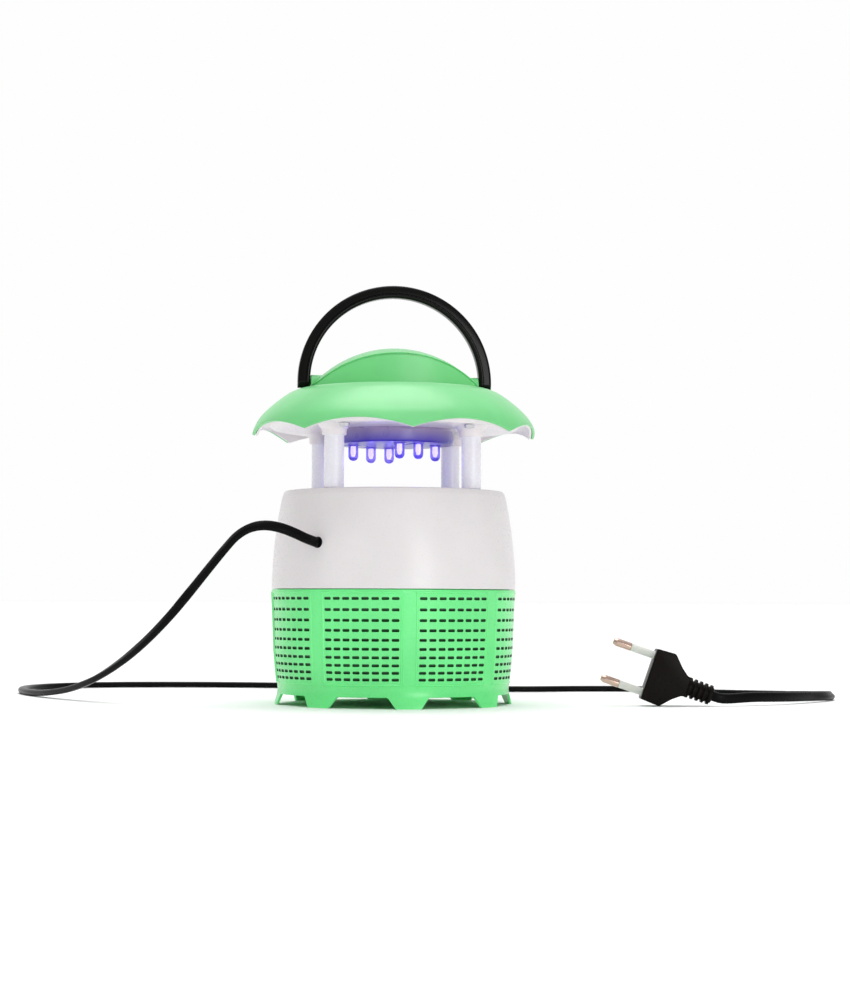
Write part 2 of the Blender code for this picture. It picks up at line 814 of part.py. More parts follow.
def top_cover():
    """The green cover: scalloped umbrella, handle ledge, domed grip and the handle's two bosses."""
    made = turned(
        "top_cover",
        [
            (0, COVER_TOP),
            (0.047, COVER_TOP),
            (0.0532, 0.1541),
            (0.0583, 0.1505),
            (0.0634, 0.1462),
            (0.0683, 0.1406),
            (0.0704, 0.1365),
            (TIP_RADIUS, 0.1328),
            (0.0699, 0.1328),
            (0.069, 0.1362),
            (0.0669, 0.14),
            (0.0621, 0.145),
            (0.0523, 0.1521),
            (0.046, COVER_UNDER),
            (0, COVER_UNDER),
        ],
        GREEN,
        closed=False,
    )

    def fittings(bm):
        for azimuth in SHADE_SCREW_AZIMUTHS:
            low = around(azimuth, SHADE_SCREW_RING, LINER_TOP + GAP)
            rod(bm, 0.0026, low, around(azimuth, SHADE_SCREW_RING, 0.1487), 12)
        for side in (-1, 1):
            rod(bm, 0.0034, (side * 0.034, 0, PIVOT_Z), (side * BOSS_END, 0, PIVOT_Z), 24)

    def feet_of_bosses(bm):
        for side in (-1, 1):
            inner, outer = sorted((side * 0.0346, side * BOSS_END))
            block(bm, (inner, -0.0032, COVER_UNDER + 0.0005), (outer, 0.0032, PIVOT_Z))

    def holes(bm):
        for azimuth in SHADE_SCREW_AZIMUTHS:
            low = around(azimuth, SHADE_SCREW_RING, LINER_TOP)
            rod(bm, 0.0014, low, around(azimuth, SHADE_SCREW_RING, LINER_TOP + 0.008), 12)
        for side in (-1, 1):
            rod(bm, PIVOT_BORE, (side * 0.0365, 0, PIVOT_Z), (side * 0.044, 0, PIVOT_Z), 16)

    combine(made, dome("dome", 0), "UNION")
    combine(made, dome("dome_hollow", DOME_WALL), "DIFFERENCE")
    combine(made, solids("cover_bosses", GREEN, feet_of_bosses), "UNION")
    combine(made, solids("cover_fittings", GREEN, fittings), "UNION")
    combine(made, solids("cover_holes", GREEN, holes), "DIFFERENCE")
    for group in arches("cover_arches", ARCH_TOP):
        combine(made, group, "DIFFERENCE")
    smooth(made)


def handle():
    """The carrying bail, its legs' ends rounded about the pivots, and the studs that turn in the bosses."""
    hinge = bpy.data.objects.new("handle_axis", None)
    hinge.location = (0, 0, PIVOT_Z)
    parts.objects.link(hinge)

    out, across = HANDLE_THICK / 2, HANDLE_WIDE / 2
    quarter = [(out, across - HANDLE_EDGE), (out - HANDLE_EDGE, across)]
    section = [*quarter, *((-x, y) for x, y in reversed(quarter))]
    section += [(-x, -y) for x, y in section]
    tips = [math.radians(a) for a in (72, 54, 36, 18, 0)]
    drops = [(-across * math.sin(a), math.cos(a)) for a in tips]
    bm = bmesh.new()

    def grow(face, lift, widen, swing=0.0):
        """Extrudes the last face, lifts it, widens it along the pivots' cross direction and swings it."""
        grown = bmesh.ops.extrude_face_region(bm, geom=[face])["geom"]
        face = next(g for g in grown if isinstance(g, bmesh.types.BMFace))
        turn = Matrix.Rotation(-swing, 3, "Y")
        for v in face.verts:
            v.co = turn @ Vector((v.co.x, v.co.y * widen, v.co.z + lift))
        return face

    low, share = drops[0]
    face = bm.faces.new([bm.verts.new((HANDLE_RADIUS + x, y * share, low)) for x, y in section])
    for (low, share), (next_low, next_share) in zip(drops, drops[1:]):
        face = grow(face, next_low - low, next_share / share)
    for _ in range(BAIL_STEPS):
        face = grow(face, 0, 1, math.pi / BAIL_STEPS)
    drops.reverse()
    for (low, share), (next_low, next_share) in zip(drops, drops[1:]):
        face = grow(face, next_low - low, next_share / share)
    inner = [f for f in bm.faces if all(len(e.link_faces) == 3 for e in f.edges)]
    bmesh.ops.delete(bm, geom=inner, context="FACES_ONLY")
    bmesh.ops.recalc_face_normals(bm, faces=bm.faces)
    mesh = bpy.data.meshes.new("handle")
    bm.to_mesh(mesh)
    bm.free()
    made = placed("handle", mesh, BLACK)

    def studs(bm):
        for side in (-1, 1):
            rod(bm, PIVOT_RADIUS, (side * 0.0368, 0, 0), (side * HANDLE_RADIUS, 0, 0), 16)

    pins = solids("handle_studs", BLACK, studs)
    made.parent = hinge
    pins.parent = hinge
    combine(made, pins, "UNION")
    smooth(made)


def lamps():
    """The lamp board above the cup, its screws, and the six lamps that look out of the cup's floor."""
    board = turned(
        "led_board",
        [
            (0, LED_BOARD_TOP),
            (LED_BOARD_RADIUS, LED_BOARD_TOP),
            (LED_BOARD_RADIUS, LED_BOARD_LOW),
            (0, LED_BOARD_LOW),
        ],
        BOARD,
        closed=False,
        steps=32,
    )

    def holes(bm):
        for x, y in LED_BOARD_SCREWS:
            rod(bm, 0.0013, (x, y, LED_BOARD_LOW - 0.001), (x, y, LED_BOARD_TOP + 0.001), 12)

    combine(board, solids("led_board_holes", BOARD, holes), "DIFFERENCE")
    for k, (x, y) in enumerate(LED_BOARD_SCREWS, 1):
        screw(f"led_board_screw_{k}", (x, y, LED_BOARD_TOP + GAP), (0, 0, -1), 0.004, 0.002, 0.0009)

    arc = [math.pi / 2 * k / 3 for k in range(4)]
    round_end = [(LED_RADIUS * math.cos(a), LED_TIP + LED_RADIUS * (1 - math.sin(a))) for a in arc]
    round_end[-1] = (0, LED_TIP)
    body = turned(
        "led_body",
        [(0, 0.1296), (0.0029, 0.1296), (0.0029, LED_FLANGE), (LED_RADIUS, LED_FLANGE), *round_end],
        VIOLET,
        closed=False,
        steps=12,
        collection=cutters,
    )

    def legs(bm):
        for x in (-0.00127, 0.00127):
            block(bm, (x - 0.0003, -0.0003, 0.129), (x + 0.0003, 0.0003, LED_BOARD_LOW - GAP))

    combine(body, solids("led_legs", VIOLET, legs), "UNION")
    body = frozen(body, VIOLET, cutters)
    smooth(body)
    for k, azimuth in enumerate(LED_AZIMUTHS, 1):
        made = placed(f"led_{k}", body.data.copy(), VIOLET)
        made.location = around(azimuth, LED_RING)
        made.rotation_euler.z = math.radians(azimuth)


def cord_gland():
    """The flanged bush that leads the cord through the housing wall."""
    made = turned(
        "cord_gland",
        [
            (0.0026, 0.0004),
            (0.003, 0.0),
            (0.003, -0.0036),
            (0.0038, -0.0036),
            (0.0038, -0.005),
            (0.0021, -0.005),
            (0.0021, 0.0004),
        ],
        RUBBER,
        steps=16,
    )
    axis = around(CORD_AZIMUTH, 1)
    made.matrix_world = (
        Matrix.Translation(around(CORD_AZIMUTH, HOUSING_RADIUS_AT_CORD, CORD_HEIGHT))
        @ axis.to_track_quat("Z", "Y").to_matrix().to_4x4()
    )
    smooth(made)


def power_cord():
    """The free cord: out of the gland, down to the ground, behind the basket and back to the plug."""
    exit_point = around(CORD_AZIMUTH, HOUSING_RADIUS_AT_CORD + 0.0004 + GAP, CORD_HEIGHT)
    route = [
        exit_point,
        (-0.0481, -0.0475, 0.0807),
        (-0.0541, -0.0507, 0.0832),
        (-0.0607, -0.0522, 0.0855),
        (-0.0676, -0.0519, 0.0866),
        (-0.0743, -0.0499, 0.0856),
        (-0.0807, -0.0464, 0.0819),
        (-0.0865, -0.0419, 0.0754),
        (-0.0935, -0.0363, 0.0665),
        (-0.1022, -0.0290, 0.0552),
        (-0.1125, -0.0205, 0.0424),
        (-0.1240, -0.0075, 0.0300),
        (-0.1360, 0.0090, 0.0194),
        (-0.1480, 0.0280, 0.0112),
        (-0.1605, 0.0520, 0.0055),
        (-0.1735, 0.0795, 0.0025),
        (-0.1830, 0.1080, CORD_FLOOR),
        (-0.1870, 0.1380, CORD_FLOOR),
        (-0.1825, 0.1675, CORD_FLOOR),
        (-0.1670, 0.1920, CORD_FLOOR),
        (-0.1400, 0.2065, CORD_FLOOR),
        (-0.1025, 0.2085, CORD_FLOOR),
        (-0.0600, 0.2005, CORD_FLOOR),
        (-0.0170, 0.1835, CORD_FLOOR),
        (0.0240, 0.1620, CORD_FLOOR),
        (0.0600, 0.1420, CORD_FLOOR),
        (0.0910, 0.1335, CORD_FLOOR),
        (0.1225, 0.1372, CORD_FLOOR),
        (0.1540, 0.1335, CORD_FLOOR),
        (0.1735, 0.1090, CORD_FLOOR),
        (0.1895, 0.0835, CORD_FLOOR),
        (0.2135, 0.0677, CORD_FLOOR),
        (0.2300, 0.0545, 0.0019),
        (0.2368, 0.0350, 0.0023),
        (0.2295, 0.0155, 0.0028),
        (0.2145, -0.0020, 0.0033),
        (0.1960, -0.0192, 0.0038),
        (0.1760, -0.0310, 0.0042),
        PLUG_PLACE @ Vector((PLUG_LENGTH + 0.006, 0, 0.0006)),
        PLUG_PLACE @ Vector((PLUG_LENGTH + 3 * GAP, 0, 0)),
    ]
    tube("power_cord", smooth_line(route, CORD_POINTS), CORD_RADIUS, RUBBER)


PLUG_PLACE = (
    Matrix.Translation(PLUG_FACE)
    @ Matrix.Rotation(math.radians(PLUG_TURN), 4, "Z")
    @ Matrix.Rotation(math.radians(PLUG_TILT), 4, "Y")
)


def plug():
    """The flat two-pin plug on its edge, its local X running from the pin face to the cord."""
    half = [
        (0, 0.0124),
        (0.0009, 0.0132),
        (0.0092, 0.0134),
        (0.0104, 0.0128),
        (0.0146, 0.0083),
        (0.0203, 0.0049),
    ]
    outline = [*half, *((x, -z) for x, z in reversed(half))]
    bm = bmesh.new()
    side = bm.faces.new([bm.verts.new((x, -PLUG_THICK / 2, z)) for x, z in outline])
    grown = bmesh.ops.extrude_face_region(bm, geom=[side])
    moved = [v for v in grown["geom"] if isinstance(v, bmesh.types.BMVert)]
    bmesh.ops.translate(bm, vec=(0, PLUG_THICK, 0), verts=moved)
    rims = [e for e in bm.edges if abs(e.verts[0].co.y - e.verts[1].co.y) < 0.000001]
    bmesh.ops.bevel(bm, geom=rims, offset=0.0015, segments=1, profile=0.5, affect="EDGES")
    bmesh.ops.recalc_face_normals(bm, faces=bm.faces)
    mesh = bpy.data.meshes.new("plug_body")
    bm.to_mesh(mesh)
    bm.free()
    made = placed("plug_body", mesh, BLACK)

    pitch, rib, groove = 0.0027, 0.0051, 0.004
    ribs = [(0, 0.004), (groove, 0.004)]
    for k in range(5):
        start = -0.0002 - k * pitch
        ribs += [(groove, start), (rib, start - 0.0003), (rib, start - 0.0015), (groove, start - 0.0018)]
    ribs += [(groove, -RELIEF_LENGTH), (0, -RELIEF_LENGTH)]
    relief = turned("strain_relief", ribs, BLACK, closed=False, steps=16, collection=cutters)
    relief.matrix_world = Matrix.Translation((PLUG_BODY_LENGTH, 0, 0)) @ Matrix.Rotation(
        -math.pi / 2, 4, "Y"
    )

    def pin_holes(bm):
        for z in (-PIN_SPACING / 2, PIN_SPACING / 2):
            rod(bm, PIN_CORE + GAP, (PIN_RECESS - 0.0005, 0, z), (PIN_DEPTH + 2 * GAP, 0, z), 12)

    def pin_recesses(bm):
        for z in (-PIN_SPACING / 2, PIN_SPACING / 2):
            rod(bm, PIN_RADIUS + GAP, (-0.001, 0, z), (PIN_RECESS, 0, z), 16)

    combine(made, relief, "UNION")
    combine(made, solids("pin_holes", BLACK, pin_holes), "DIFFERENCE")
    combine(made, solids("pin_recesses", BLACK, pin_recesses), "DIFFERENCE")
    made = frozen(made, BLACK)
    made.matrix_world = PLUG_PLACE
    smooth(made)

    for k, z in enumerate((-PIN_SPACING / 2, PIN_SPACING / 2), 1):
        bared = SLEEVE_LENGTH + 0.0006
        pin = turned(
            f"plug_pin_{k}",
            [
                (0, PIN_LENGTH),
                (0.0011, PIN_LENGTH - 0.0002),
                (0.0018, PIN_LENGTH - 0.001),
                (PIN_RADIUS, PIN_LENGTH - 0.0022),
                (PIN_RADIUS, bared + 0.0003),
                (PIN_CORE, bared + 0.0003),
                (PIN_CORE, -PIN_DEPTH),
                (0, -PIN_DEPTH),
            ],
            NICKEL,
            closed=False,
            steps=16,
        )
        sleeve = turned(
            f"pin_sleeve_{k}",
            [
                (0.0019, bared),
                (0.0019, GAP - PIN_RECESS),
                (PIN_CORE + GAP, GAP - PIN_RECESS),
                (PIN_CORE + GAP, bared),
            ],
            SLEEVE,
            steps=16,
        )
        for piece in (pin, sleeve):
            piece.matrix_world = (
                PLUG_PLACE @ Matrix.Translation((0, 0, z)) @ Matrix.Rotation(-math.pi / 2, 4, "Y")
            )
            smooth(piece)


basket()
housing()
base_plate()
fan()
supply()
pillars()
shade_liner()
top_cover()
handle()
lamps()
cord_gland()
power_cord()
plug()
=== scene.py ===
"""The looks of a fan-suction insect trap, built around the frame that its bodies and joints come from.

Lengths are in metres unless a name or comment says millimetres. +Z is up and the front faces -Y.
An azimuth is counted in degrees from the front towards +X.
"""

import json
import math

import bmesh
import bpy
import numpy as np
from mathutils import Matrix, Vector


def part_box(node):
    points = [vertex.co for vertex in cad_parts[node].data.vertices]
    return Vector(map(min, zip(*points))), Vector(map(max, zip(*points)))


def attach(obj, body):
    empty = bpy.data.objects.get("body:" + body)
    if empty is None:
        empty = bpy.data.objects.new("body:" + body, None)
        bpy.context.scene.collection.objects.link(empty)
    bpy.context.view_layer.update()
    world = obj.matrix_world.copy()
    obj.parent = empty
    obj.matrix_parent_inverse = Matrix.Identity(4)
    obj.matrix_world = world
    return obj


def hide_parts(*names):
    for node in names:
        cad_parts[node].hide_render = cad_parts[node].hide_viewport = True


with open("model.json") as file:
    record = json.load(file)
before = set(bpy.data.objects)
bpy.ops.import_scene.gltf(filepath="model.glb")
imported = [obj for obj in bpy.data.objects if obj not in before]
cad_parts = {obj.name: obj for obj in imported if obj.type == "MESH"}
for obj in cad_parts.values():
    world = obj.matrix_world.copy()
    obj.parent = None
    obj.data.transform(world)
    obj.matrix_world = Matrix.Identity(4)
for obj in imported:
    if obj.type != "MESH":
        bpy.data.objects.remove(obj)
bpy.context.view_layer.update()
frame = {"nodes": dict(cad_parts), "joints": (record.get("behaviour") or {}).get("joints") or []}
scene = bpy.context.scene

MM = 0.001
TRAP, BAIL, BASKET = "trap_body", "handle", "basket"
SECTORS = 8
PILLAR_AZIMUTHS = (-45, 45, 135, -135)
PILLAR_RING = 0.0475
LED_AZIMUTHS = (0, 28, 84, 180, 208, 264)
LED_RING = 0.0205
SHADE_SCREW_AZIMUTHS = (-32, 32, 148, -148)
SHADE_SCREW_RING = 0.057

PIVOT = Vector(next(j["pos_m"] for j in frame["joints"] if j["name"] == "handle_swing"))
BAIL_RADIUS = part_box("handle")[1].x - 0.0031

CORD_AZIMUTH = -45
CORD_FLOOR = 0.0018


# ---------------------------------------------------------------- small helpers


def around(azimuth, radius, height=0.0):
    """The point at an azimuth, a distance from the main axis and a height."""
    a = math.radians(azimuth)
    return Vector((radius * math.sin(a), -radius * math.cos(a), height))


def piece(name, mesh, look, body, sharp=35):
    """Links a mesh as a piece that rides on a body, with its material, slot and shading."""
    made = bpy.data.objects.new(name, mesh)
    scene.collection.objects.link(made)
    mesh.materials.clear()
    mesh.materials.append(look)
    mesh.shade_smooth()
    mesh.set_sharp_from_angle(angle=math.radians(sharp))
    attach(made, body)
    return made


def mesh_of(name, verts, faces):
    """A mesh from points and faces, with its normals turned out."""
    mesh = bpy.data.meshes.new(name)
    mesh.from_pydata([tuple(v) for v in verts], [], faces)
    bm = bmesh.new()
    bm.from_mesh(mesh)
    bmesh.ops.recalc_face_normals(bm, faces=bm.faces)
    bm.to_mesh(mesh)
    bm.free()
    return mesh


def rounded(points, steps=6):
    """A polyline of (radius, height, fillet) with each corner turned into an arc of its fillet radius."""
    line = []
    for i, (x, y, fillet) in enumerate(points):
        here = Vector((x, y))
        if fillet == 0 or i in (0, len(points) - 1):
            line.append(here)
            continue
        back = Vector(points[i - 1][:2]) - here
        ahead = Vector(points[i + 1][:2]) - here
        half = back.angle(ahead) / 2
        reach = min(fillet / math.tan(half), 0.49 * back.length, 0.49 * ahead.length)
        a = here + back.normalized() * reach
        b = here + ahead.normalized() * reach
        for k in range(steps + 1):
            t = k / steps
            line.append(a * (1 - t) ** 2 + here * 2 * t * (1 - t) + b * t**2)
    return line


def lathe(name, profile, steps=96):
    """A mesh turned about Z from a closed outline of (radius, height) in millimetres."""
    rows = len(profile)
    verts, faces = [], []
    for k in range(steps):
        a = 2 * math.pi * k / steps
        for r, z in profile:
            verts.append((r * MM * math.sin(a), -r * MM * math.cos(a), z * MM))
    for k in range(steps):
        n = (k + 1) % steps
        for i in range(rows):
            j = (i + 1) % rows
            faces.append((k * rows + i, k * rows + j, n * rows + j, n * rows + i))
    mesh = mesh_of(name, verts, faces)
    bm = bmesh.new()
    bm.from_mesh(mesh)
    bmesh.ops.remove_doubles(bm, verts=bm.verts, dist=0.000002)
    bmesh.ops.dissolve_degenerate(bm, edges=bm.edges, dist=0.000001)
    bmesh.ops.recalc_face_normals(bm, faces=bm.faces)
    bm.to_mesh(mesh)
    bm.free()
    return mesh


def loft(name, rings):
    """A mesh through rings of equal counts of points, closed by a face at each end."""
    count = len(rings[0])
    verts = [p for ring in rings for p in ring]
    faces = []
    for k in range(len(rings) - 1):
        for i in range(count):
            j = (i + 1) % count
            faces.append((k * count + i, k * count + j, (k + 1) * count + j, (k + 1) * count + i))
    faces.append(tuple(range(count)))
    faces.append(tuple(range((len(rings) - 1) * count, len(rings) * count)))
    return mesh_of(name, verts, faces)


def applied(made):
    """Turns the object's modifiers into its mesh."""
    bpy.context.view_layer.update()
    graph = bpy.context.evaluated_depsgraph_get()
    mesh = bpy.data.meshes.new_from_object(made.evaluated_get(graph))
    made.modifiers.clear()
    made.data = mesh
    return made


def cut(made, cutter):
    """Cuts a mesh out of an object."""
    other = bpy.data.objects.new("cutter", cutter)
    scene.collection.objects.link(other)
    step = made.modifiers.new("cut", "BOOLEAN")
    step.operation = "DIFFERENCE"
    step.solver = "EXACT"
    step.object = other
    applied(made)
    bpy.data.objects.remove(other)
    return made


# ---------------------------------------------------------------- camera and light

CAMERA_AZIMUTH = -7.3
CAMERA_DISTANCE = 1.1
CAMERA_HEIGHT = 0.05125
CAMERA_RIGHT, CAMERA_UP, CAMERA_ROLL = 0.807, 2.69, 0.22
LENS = 79.6
ROOM_FRONT, ROOM_BACK = 0.48, 0.99
FLOOR_SIDES, FLOOR_REACH = 64, 40.0


def camera():
    """The camera a little left of the front, at the height of the basket's rim."""
    data = bpy.data.cameras.new("camera")
    data.lens = LENS
    data.clip_start, data.clip_end = 0.01, 50
    made = bpy.data.objects.new("camera", data)
    scene.collection.objects.link(made)
    turn = Matrix.Rotation(math.radians(CAMERA_AZIMUTH - CAMERA_RIGHT), 4, "Z")
    tilt = Matrix.Rotation(math.radians(90 + CAMERA_UP), 4, "X")
    roll = Matrix.Rotation(math.radians(CAMERA_ROLL), 4, "Z")
    made.matrix_world = (
        Matrix.Translation(around(CAMERA_AZIMUTH, CAMERA_DISTANCE, CAMERA_HEIGHT)) @ turn @ tilt @ roll
    )
    scene.camera = made


def softbox(name, place, target, size, power):
    """A square area light that faces the target."""
    data = bpy.data.lights.new(name, "AREA")
    data.size, data.energy = size, power
    made = bpy.data.objects.new(name, data)
    scene.collection.objects.link(made)
    made.location = place
    made.rotation_euler = (Vector(target) - Vector(place)).to_track_quat("-Z", "Y").to_euler()


def studio():
    """A pale room, a plain pale floor and soft lights from the front and above."""
    scene.view_settings.view_transform = "Standard"
    scene.view_settings.look = "None"
    world = bpy.data.worlds.new("pale_room")
    world.use_nodes = True
    tree = world.node_tree
    background = tree.nodes["Background"]
    where = tree.nodes.new("ShaderNodeTexCoord")
    axes = tree.nodes.new("ShaderNodeSeparateXYZ")
    level = tree.nodes.new("ShaderNodeMapRange")
    level.inputs["From Min"].default_value, level.inputs["From Max"].default_value = 0.35, 0.85
    level.inputs["To Min"].default_value, level.inputs["To Max"].default_value = ROOM_FRONT, ROOM_BACK
    tree.links.new(where.outputs["Generated"], axes.inputs["Vector"])
    tree.links.new(axes.outputs["Y"], level.inputs["Value"])
    # The camera sees the room at its brightest from every side.
    ray = tree.nodes.new("ShaderNodeLightPath")
    backdrop = tree.nodes.new("ShaderNodeMath")
    backdrop.operation = "MULTIPLY"
    backdrop.inputs[1].default_value = ROOM_BACK
    tree.links.new(ray.outputs["Is Camera Ray"], backdrop.inputs[0])
    brightest = tree.nodes.new("ShaderNodeMath")
    brightest.operation = "MAXIMUM"
    tree.links.new(level.outputs["Result"], brightest.inputs[0])
    tree.links.new(backdrop.outputs["Value"], brightest.inputs[1])
    tree.links.new(brightest.outputs["Value"], background.inputs["Strength"])
    background.inputs["Color"].default_value = (1, 1, 1, 1)
    scene.world = world
    middle = (0, 0, 0.1)
    softbox("key", (-0.3, -1.5, 1.5), middle, 1.8, 3)
    softbox("fill", (0.6, -1.8, 0.2), middle, 0.6, 6)
    softbox("top", (0.0, -0.3, 1.7), middle, 3.0, 5)
    data = bpy.data.lights.new("sun", "SUN")
    data.energy, data.angle = 1.9, math.radians(50)
    made = bpy.data.objects.new("sun", data)
    scene.collection.objects.link(made)
    made.rotation_euler = (math.radians(-6), 0, 0)
    ring = [around(360 * k / FLOOR_SIDES, FLOOR_REACH) for k in range(FLOOR_SIDES)]
    mesh = mesh_of("floor", ring, [tuple(range(FLOOR_SIDES))])
    floor = bpy.data.objects.new("floor", mesh)
    scene.collection.objects.link(floor)
    mesh.materials.append(floor_look())


# ---------------------------------------------------------------- materials


def node_tree(name):
    """A new material, its shader and a function that adds linked nodes to it."""
    made = bpy.data.materials.new(name)
    made.use_nodes = True
    tree = made.node_tree
    shader = tree.nodes["Principled BSDF"]

    def add(kind, links=(), **values):
        node = tree.nodes.new(kind)
        for key, value in values.items():
            if key in node.inputs:
                node.inputs[key].default_value = value
            else:
                setattr(node, key, value)
        for source, target in links:
            tree.links.new(source, node.inputs[target])
        return node

    return made, shader, tree.links.new, add


def mixed(add, share, low, high):
    """A colour that goes from low to high with a 0 to 1 share."""
    ramp = add("ShaderNodeValToRGB", [(share, "Fac")])
    ramp.color_ramp.elements[0].color = (*low, 1)
    ramp.color_ramp.elements[1].color = (*high, 1)
    return ramp.outputs["Color"]


def spread(add, share, low, high, from_low=0.0, from_high=1.0):
    """A number mapped from one range to another."""
    node = add(
        "ShaderNodeMapRange",
        [(share, "Value")],
        **{"From Min": from_low, "From Max": from_high, "To Min": low, "To Max": high},
    )
    return node.outputs["Result"]


COAT_ROUGHNESS = 0.22
GLOW_COLOUR = (0.9, 0.87, 1.0)


def moulded(
    name,
    colour,
    roughness=0.3,
    grain=900,
    depth=0.04,
    level=0.5,
    mottle=0.05,
    scatter=0.0,
    coat=0.0,
    glow=0.0,
):
    """Moulded plastic: faint flow mottling, fine grain in the surface, and edges that are paler."""
    made, shader, link, add = node_tree(name)
    where = add("ShaderNodeTexCoord").outputs["Object"]
    cloud = add("ShaderNodeTexNoise", [(where, "Vector")], Scale=34.0, Detail=3.0)
    fine = add("ShaderNodeTexNoise", [(where, "Vector")], Scale=float(grain), Detail=2.0)
    edge = add("ShaderNodeNewGeometry").outputs["Pointiness"]
    dark = tuple(c * (1 - mottle) for c in colour)
    pale = tuple(min(1.0, c * (1 + mottle) + mottle * 0.02) for c in colour)
    base = mixed(add, spread(add, cloud.outputs["Fac"], 0, 1, 0.35, 0.65), dark, pale)
    worn = spread(add, edge, 0.0, 0.35, 0.52, 0.62)
    light = tuple(min(1.0, c * 1.25 + 0.002) for c in colour)
    blend = add("ShaderNodeMix", data_type="RGBA")
    link(worn, blend.inputs["Factor"])
    link(base, blend.inputs[6])
    blend.inputs[7].default_value = (*light, 1)
    link(blend.outputs[2], shader.inputs["Base Color"])
    rough = spread(add, fine.outputs["Fac"], roughness * 0.85, roughness * 1.2, 0.3, 0.7)
    link(rough, shader.inputs["Roughness"])
    bump = add("ShaderNodeBump", [(fine.outputs["Fac"], "Height")], Strength=depth, Distance=0.0001)
    link(bump.outputs["Normal"], shader.inputs["Normal"])
    shader.inputs["Specular IOR Level"].default_value = level
    shader.inputs["Subsurface Weight"].default_value = scatter
    shader.inputs["Subsurface Scale"].default_value = 0.002
    shader.inputs["Emission Color"].default_value = (*GLOW_COLOUR, 1)
    shader.inputs["Emission Strength"].default_value = glow
    shader.inputs["Coat Weight"].default_value = coat
    shader.inputs["Coat Roughness"].default_value = COAT_ROUGHNESS
    made.diffuse_color = (*colour, 1)
    return made


METAL_STREAK = (40, 40, 1600)


def metal(name, colour, roughness):
    """Turned or rolled metal with fine lines and a little tarnish."""
    made, shader, link, add = node_tree(name)
    where = add("ShaderNodeTexCoord").outputs["Object"]
    stretched = add("ShaderNodeMapping", [(where, "Vector")])
    stretched.inputs["Scale"].default_value = METAL_STREAK
    lines = add("ShaderNodeTexNoise", [(stretched.outputs["Vector"], "Vector")], Scale=1.0, Detail=2.0)
    cloud = add("ShaderNodeTexNoise", [(where, "Vector")], Scale=220.0, Detail=4.0)
    dull = tuple(c * 0.78 for c in colour)
    link(mixed(add, cloud.outputs["Fac"], dull, colour), shader.inputs["Base Color"])
    rough = spread(add, lines.outputs["Fac"], roughness * 0.7, roughness * 1.5, 0.3, 0.7)
    link(rough, shader.inputs["Roughness"])
    bump = add("ShaderNodeBump", [(lines.outputs["Fac"], "Height")], Strength=0.12, Distance=0.00005)
    link(bump.outputs["Normal"], shader.inputs["Normal"])
    shader.inputs["Metallic"].default_value = 1.0
    return made


def floor_look():
    """The pale floor's matt paint."""
    made, shader, link, add = node_tree("pale_floor")
    where = add("ShaderNodeTexCoord").outputs["Object"]
    cloud = add("ShaderNodeTexNoise", [(where, "Vector")], Scale=7.0, Detail=3.0)
    paint = mixed(add, cloud.outputs["Fac"], (0.93, 0.93, 0.935), (0.95, 0.95, 0.95))
    link(paint, shader.inputs["Base Color"])
    shader.inputs["Roughness"].default_value = 0.7
    shader.inputs["Specular IOR Level"].default_value = 0.2
    return made


def lamp_look():
    """The lamps' tinted lens, lit from inside and brighter towards its tip."""
    made, shader, link, add = node_tree("violet_lamp")
    where = add("ShaderNodeTexCoord").outputs["Object"]
    height = add("ShaderNodeSeparateXYZ", [(where, "Vector")]).outputs["Z"]
    cloud = add("ShaderNodeTexNoise", [(where, "Vector")], Scale=260.0, Detail=2.0)
    glow = mixed(add, spread(add, height, 0, 1, 0.13, 0.121), (0.03, 0.014, 0.30), (0.085, 0.055, 0.72))
    link(glow, shader.inputs["Emission Color"])
    tint = mixed(add, cloud.outputs["Fac"], (0.26, 0.20, 0.82), (0.36, 0.30, 0.90))
    link(tint, shader.inputs["Base Color"])
    shader.inputs["Emission Strength"].default_value = 0.22
    shader.inputs["Transmission Weight"].default_value = 0.9
    shader.inputs["IOR"].default_value = 1.5
    link(spread(add, cloud.outputs["Fac"], 0.08, 0.2), shader.inputs["Roughness"])
    return made


def cup_look():
    """The lamps' cup: white plastic with the lamps' violet light painted into its colour, deep violet
    near the lamps and paler above them.
    """
    made, shader, link, add = node_tree("cup_painted_violet_light")
    where = add("ShaderNodeTexCoord").outputs["Object"]
    height = add("ShaderNodeSeparateXYZ", [(where, "Vector")]).outputs["Z"]
    cloud = add("ShaderNodeTexNoise", [(where, "Vector")], Scale=60.0, Detail=2.0)
    share = add("ShaderNodeMath", operation="MULTIPLY")
    link(spread(add, height, 0, 1, 0.1295, 0.1372), share.inputs[0])
    link(spread(add, cloud.outputs["Fac"], 0.7, 1.25), share.inputs[1])
    # This violet is painted light from the lamps, deepest low on the cup and fading upward.
    tint = mixed(add, share.outputs[0], (0.055, 0.035, 0.43), (0.42, 0.34, 0.46))
    link(tint, shader.inputs["Base Color"])
    link(spread(add, cloud.outputs["Fac"], 0.22, 0.36), shader.inputs["Roughness"])
    shader.inputs["Subsurface Weight"].default_value = 0.1
    shader.inputs["Subsurface Scale"].default_value = 0.002
    return made


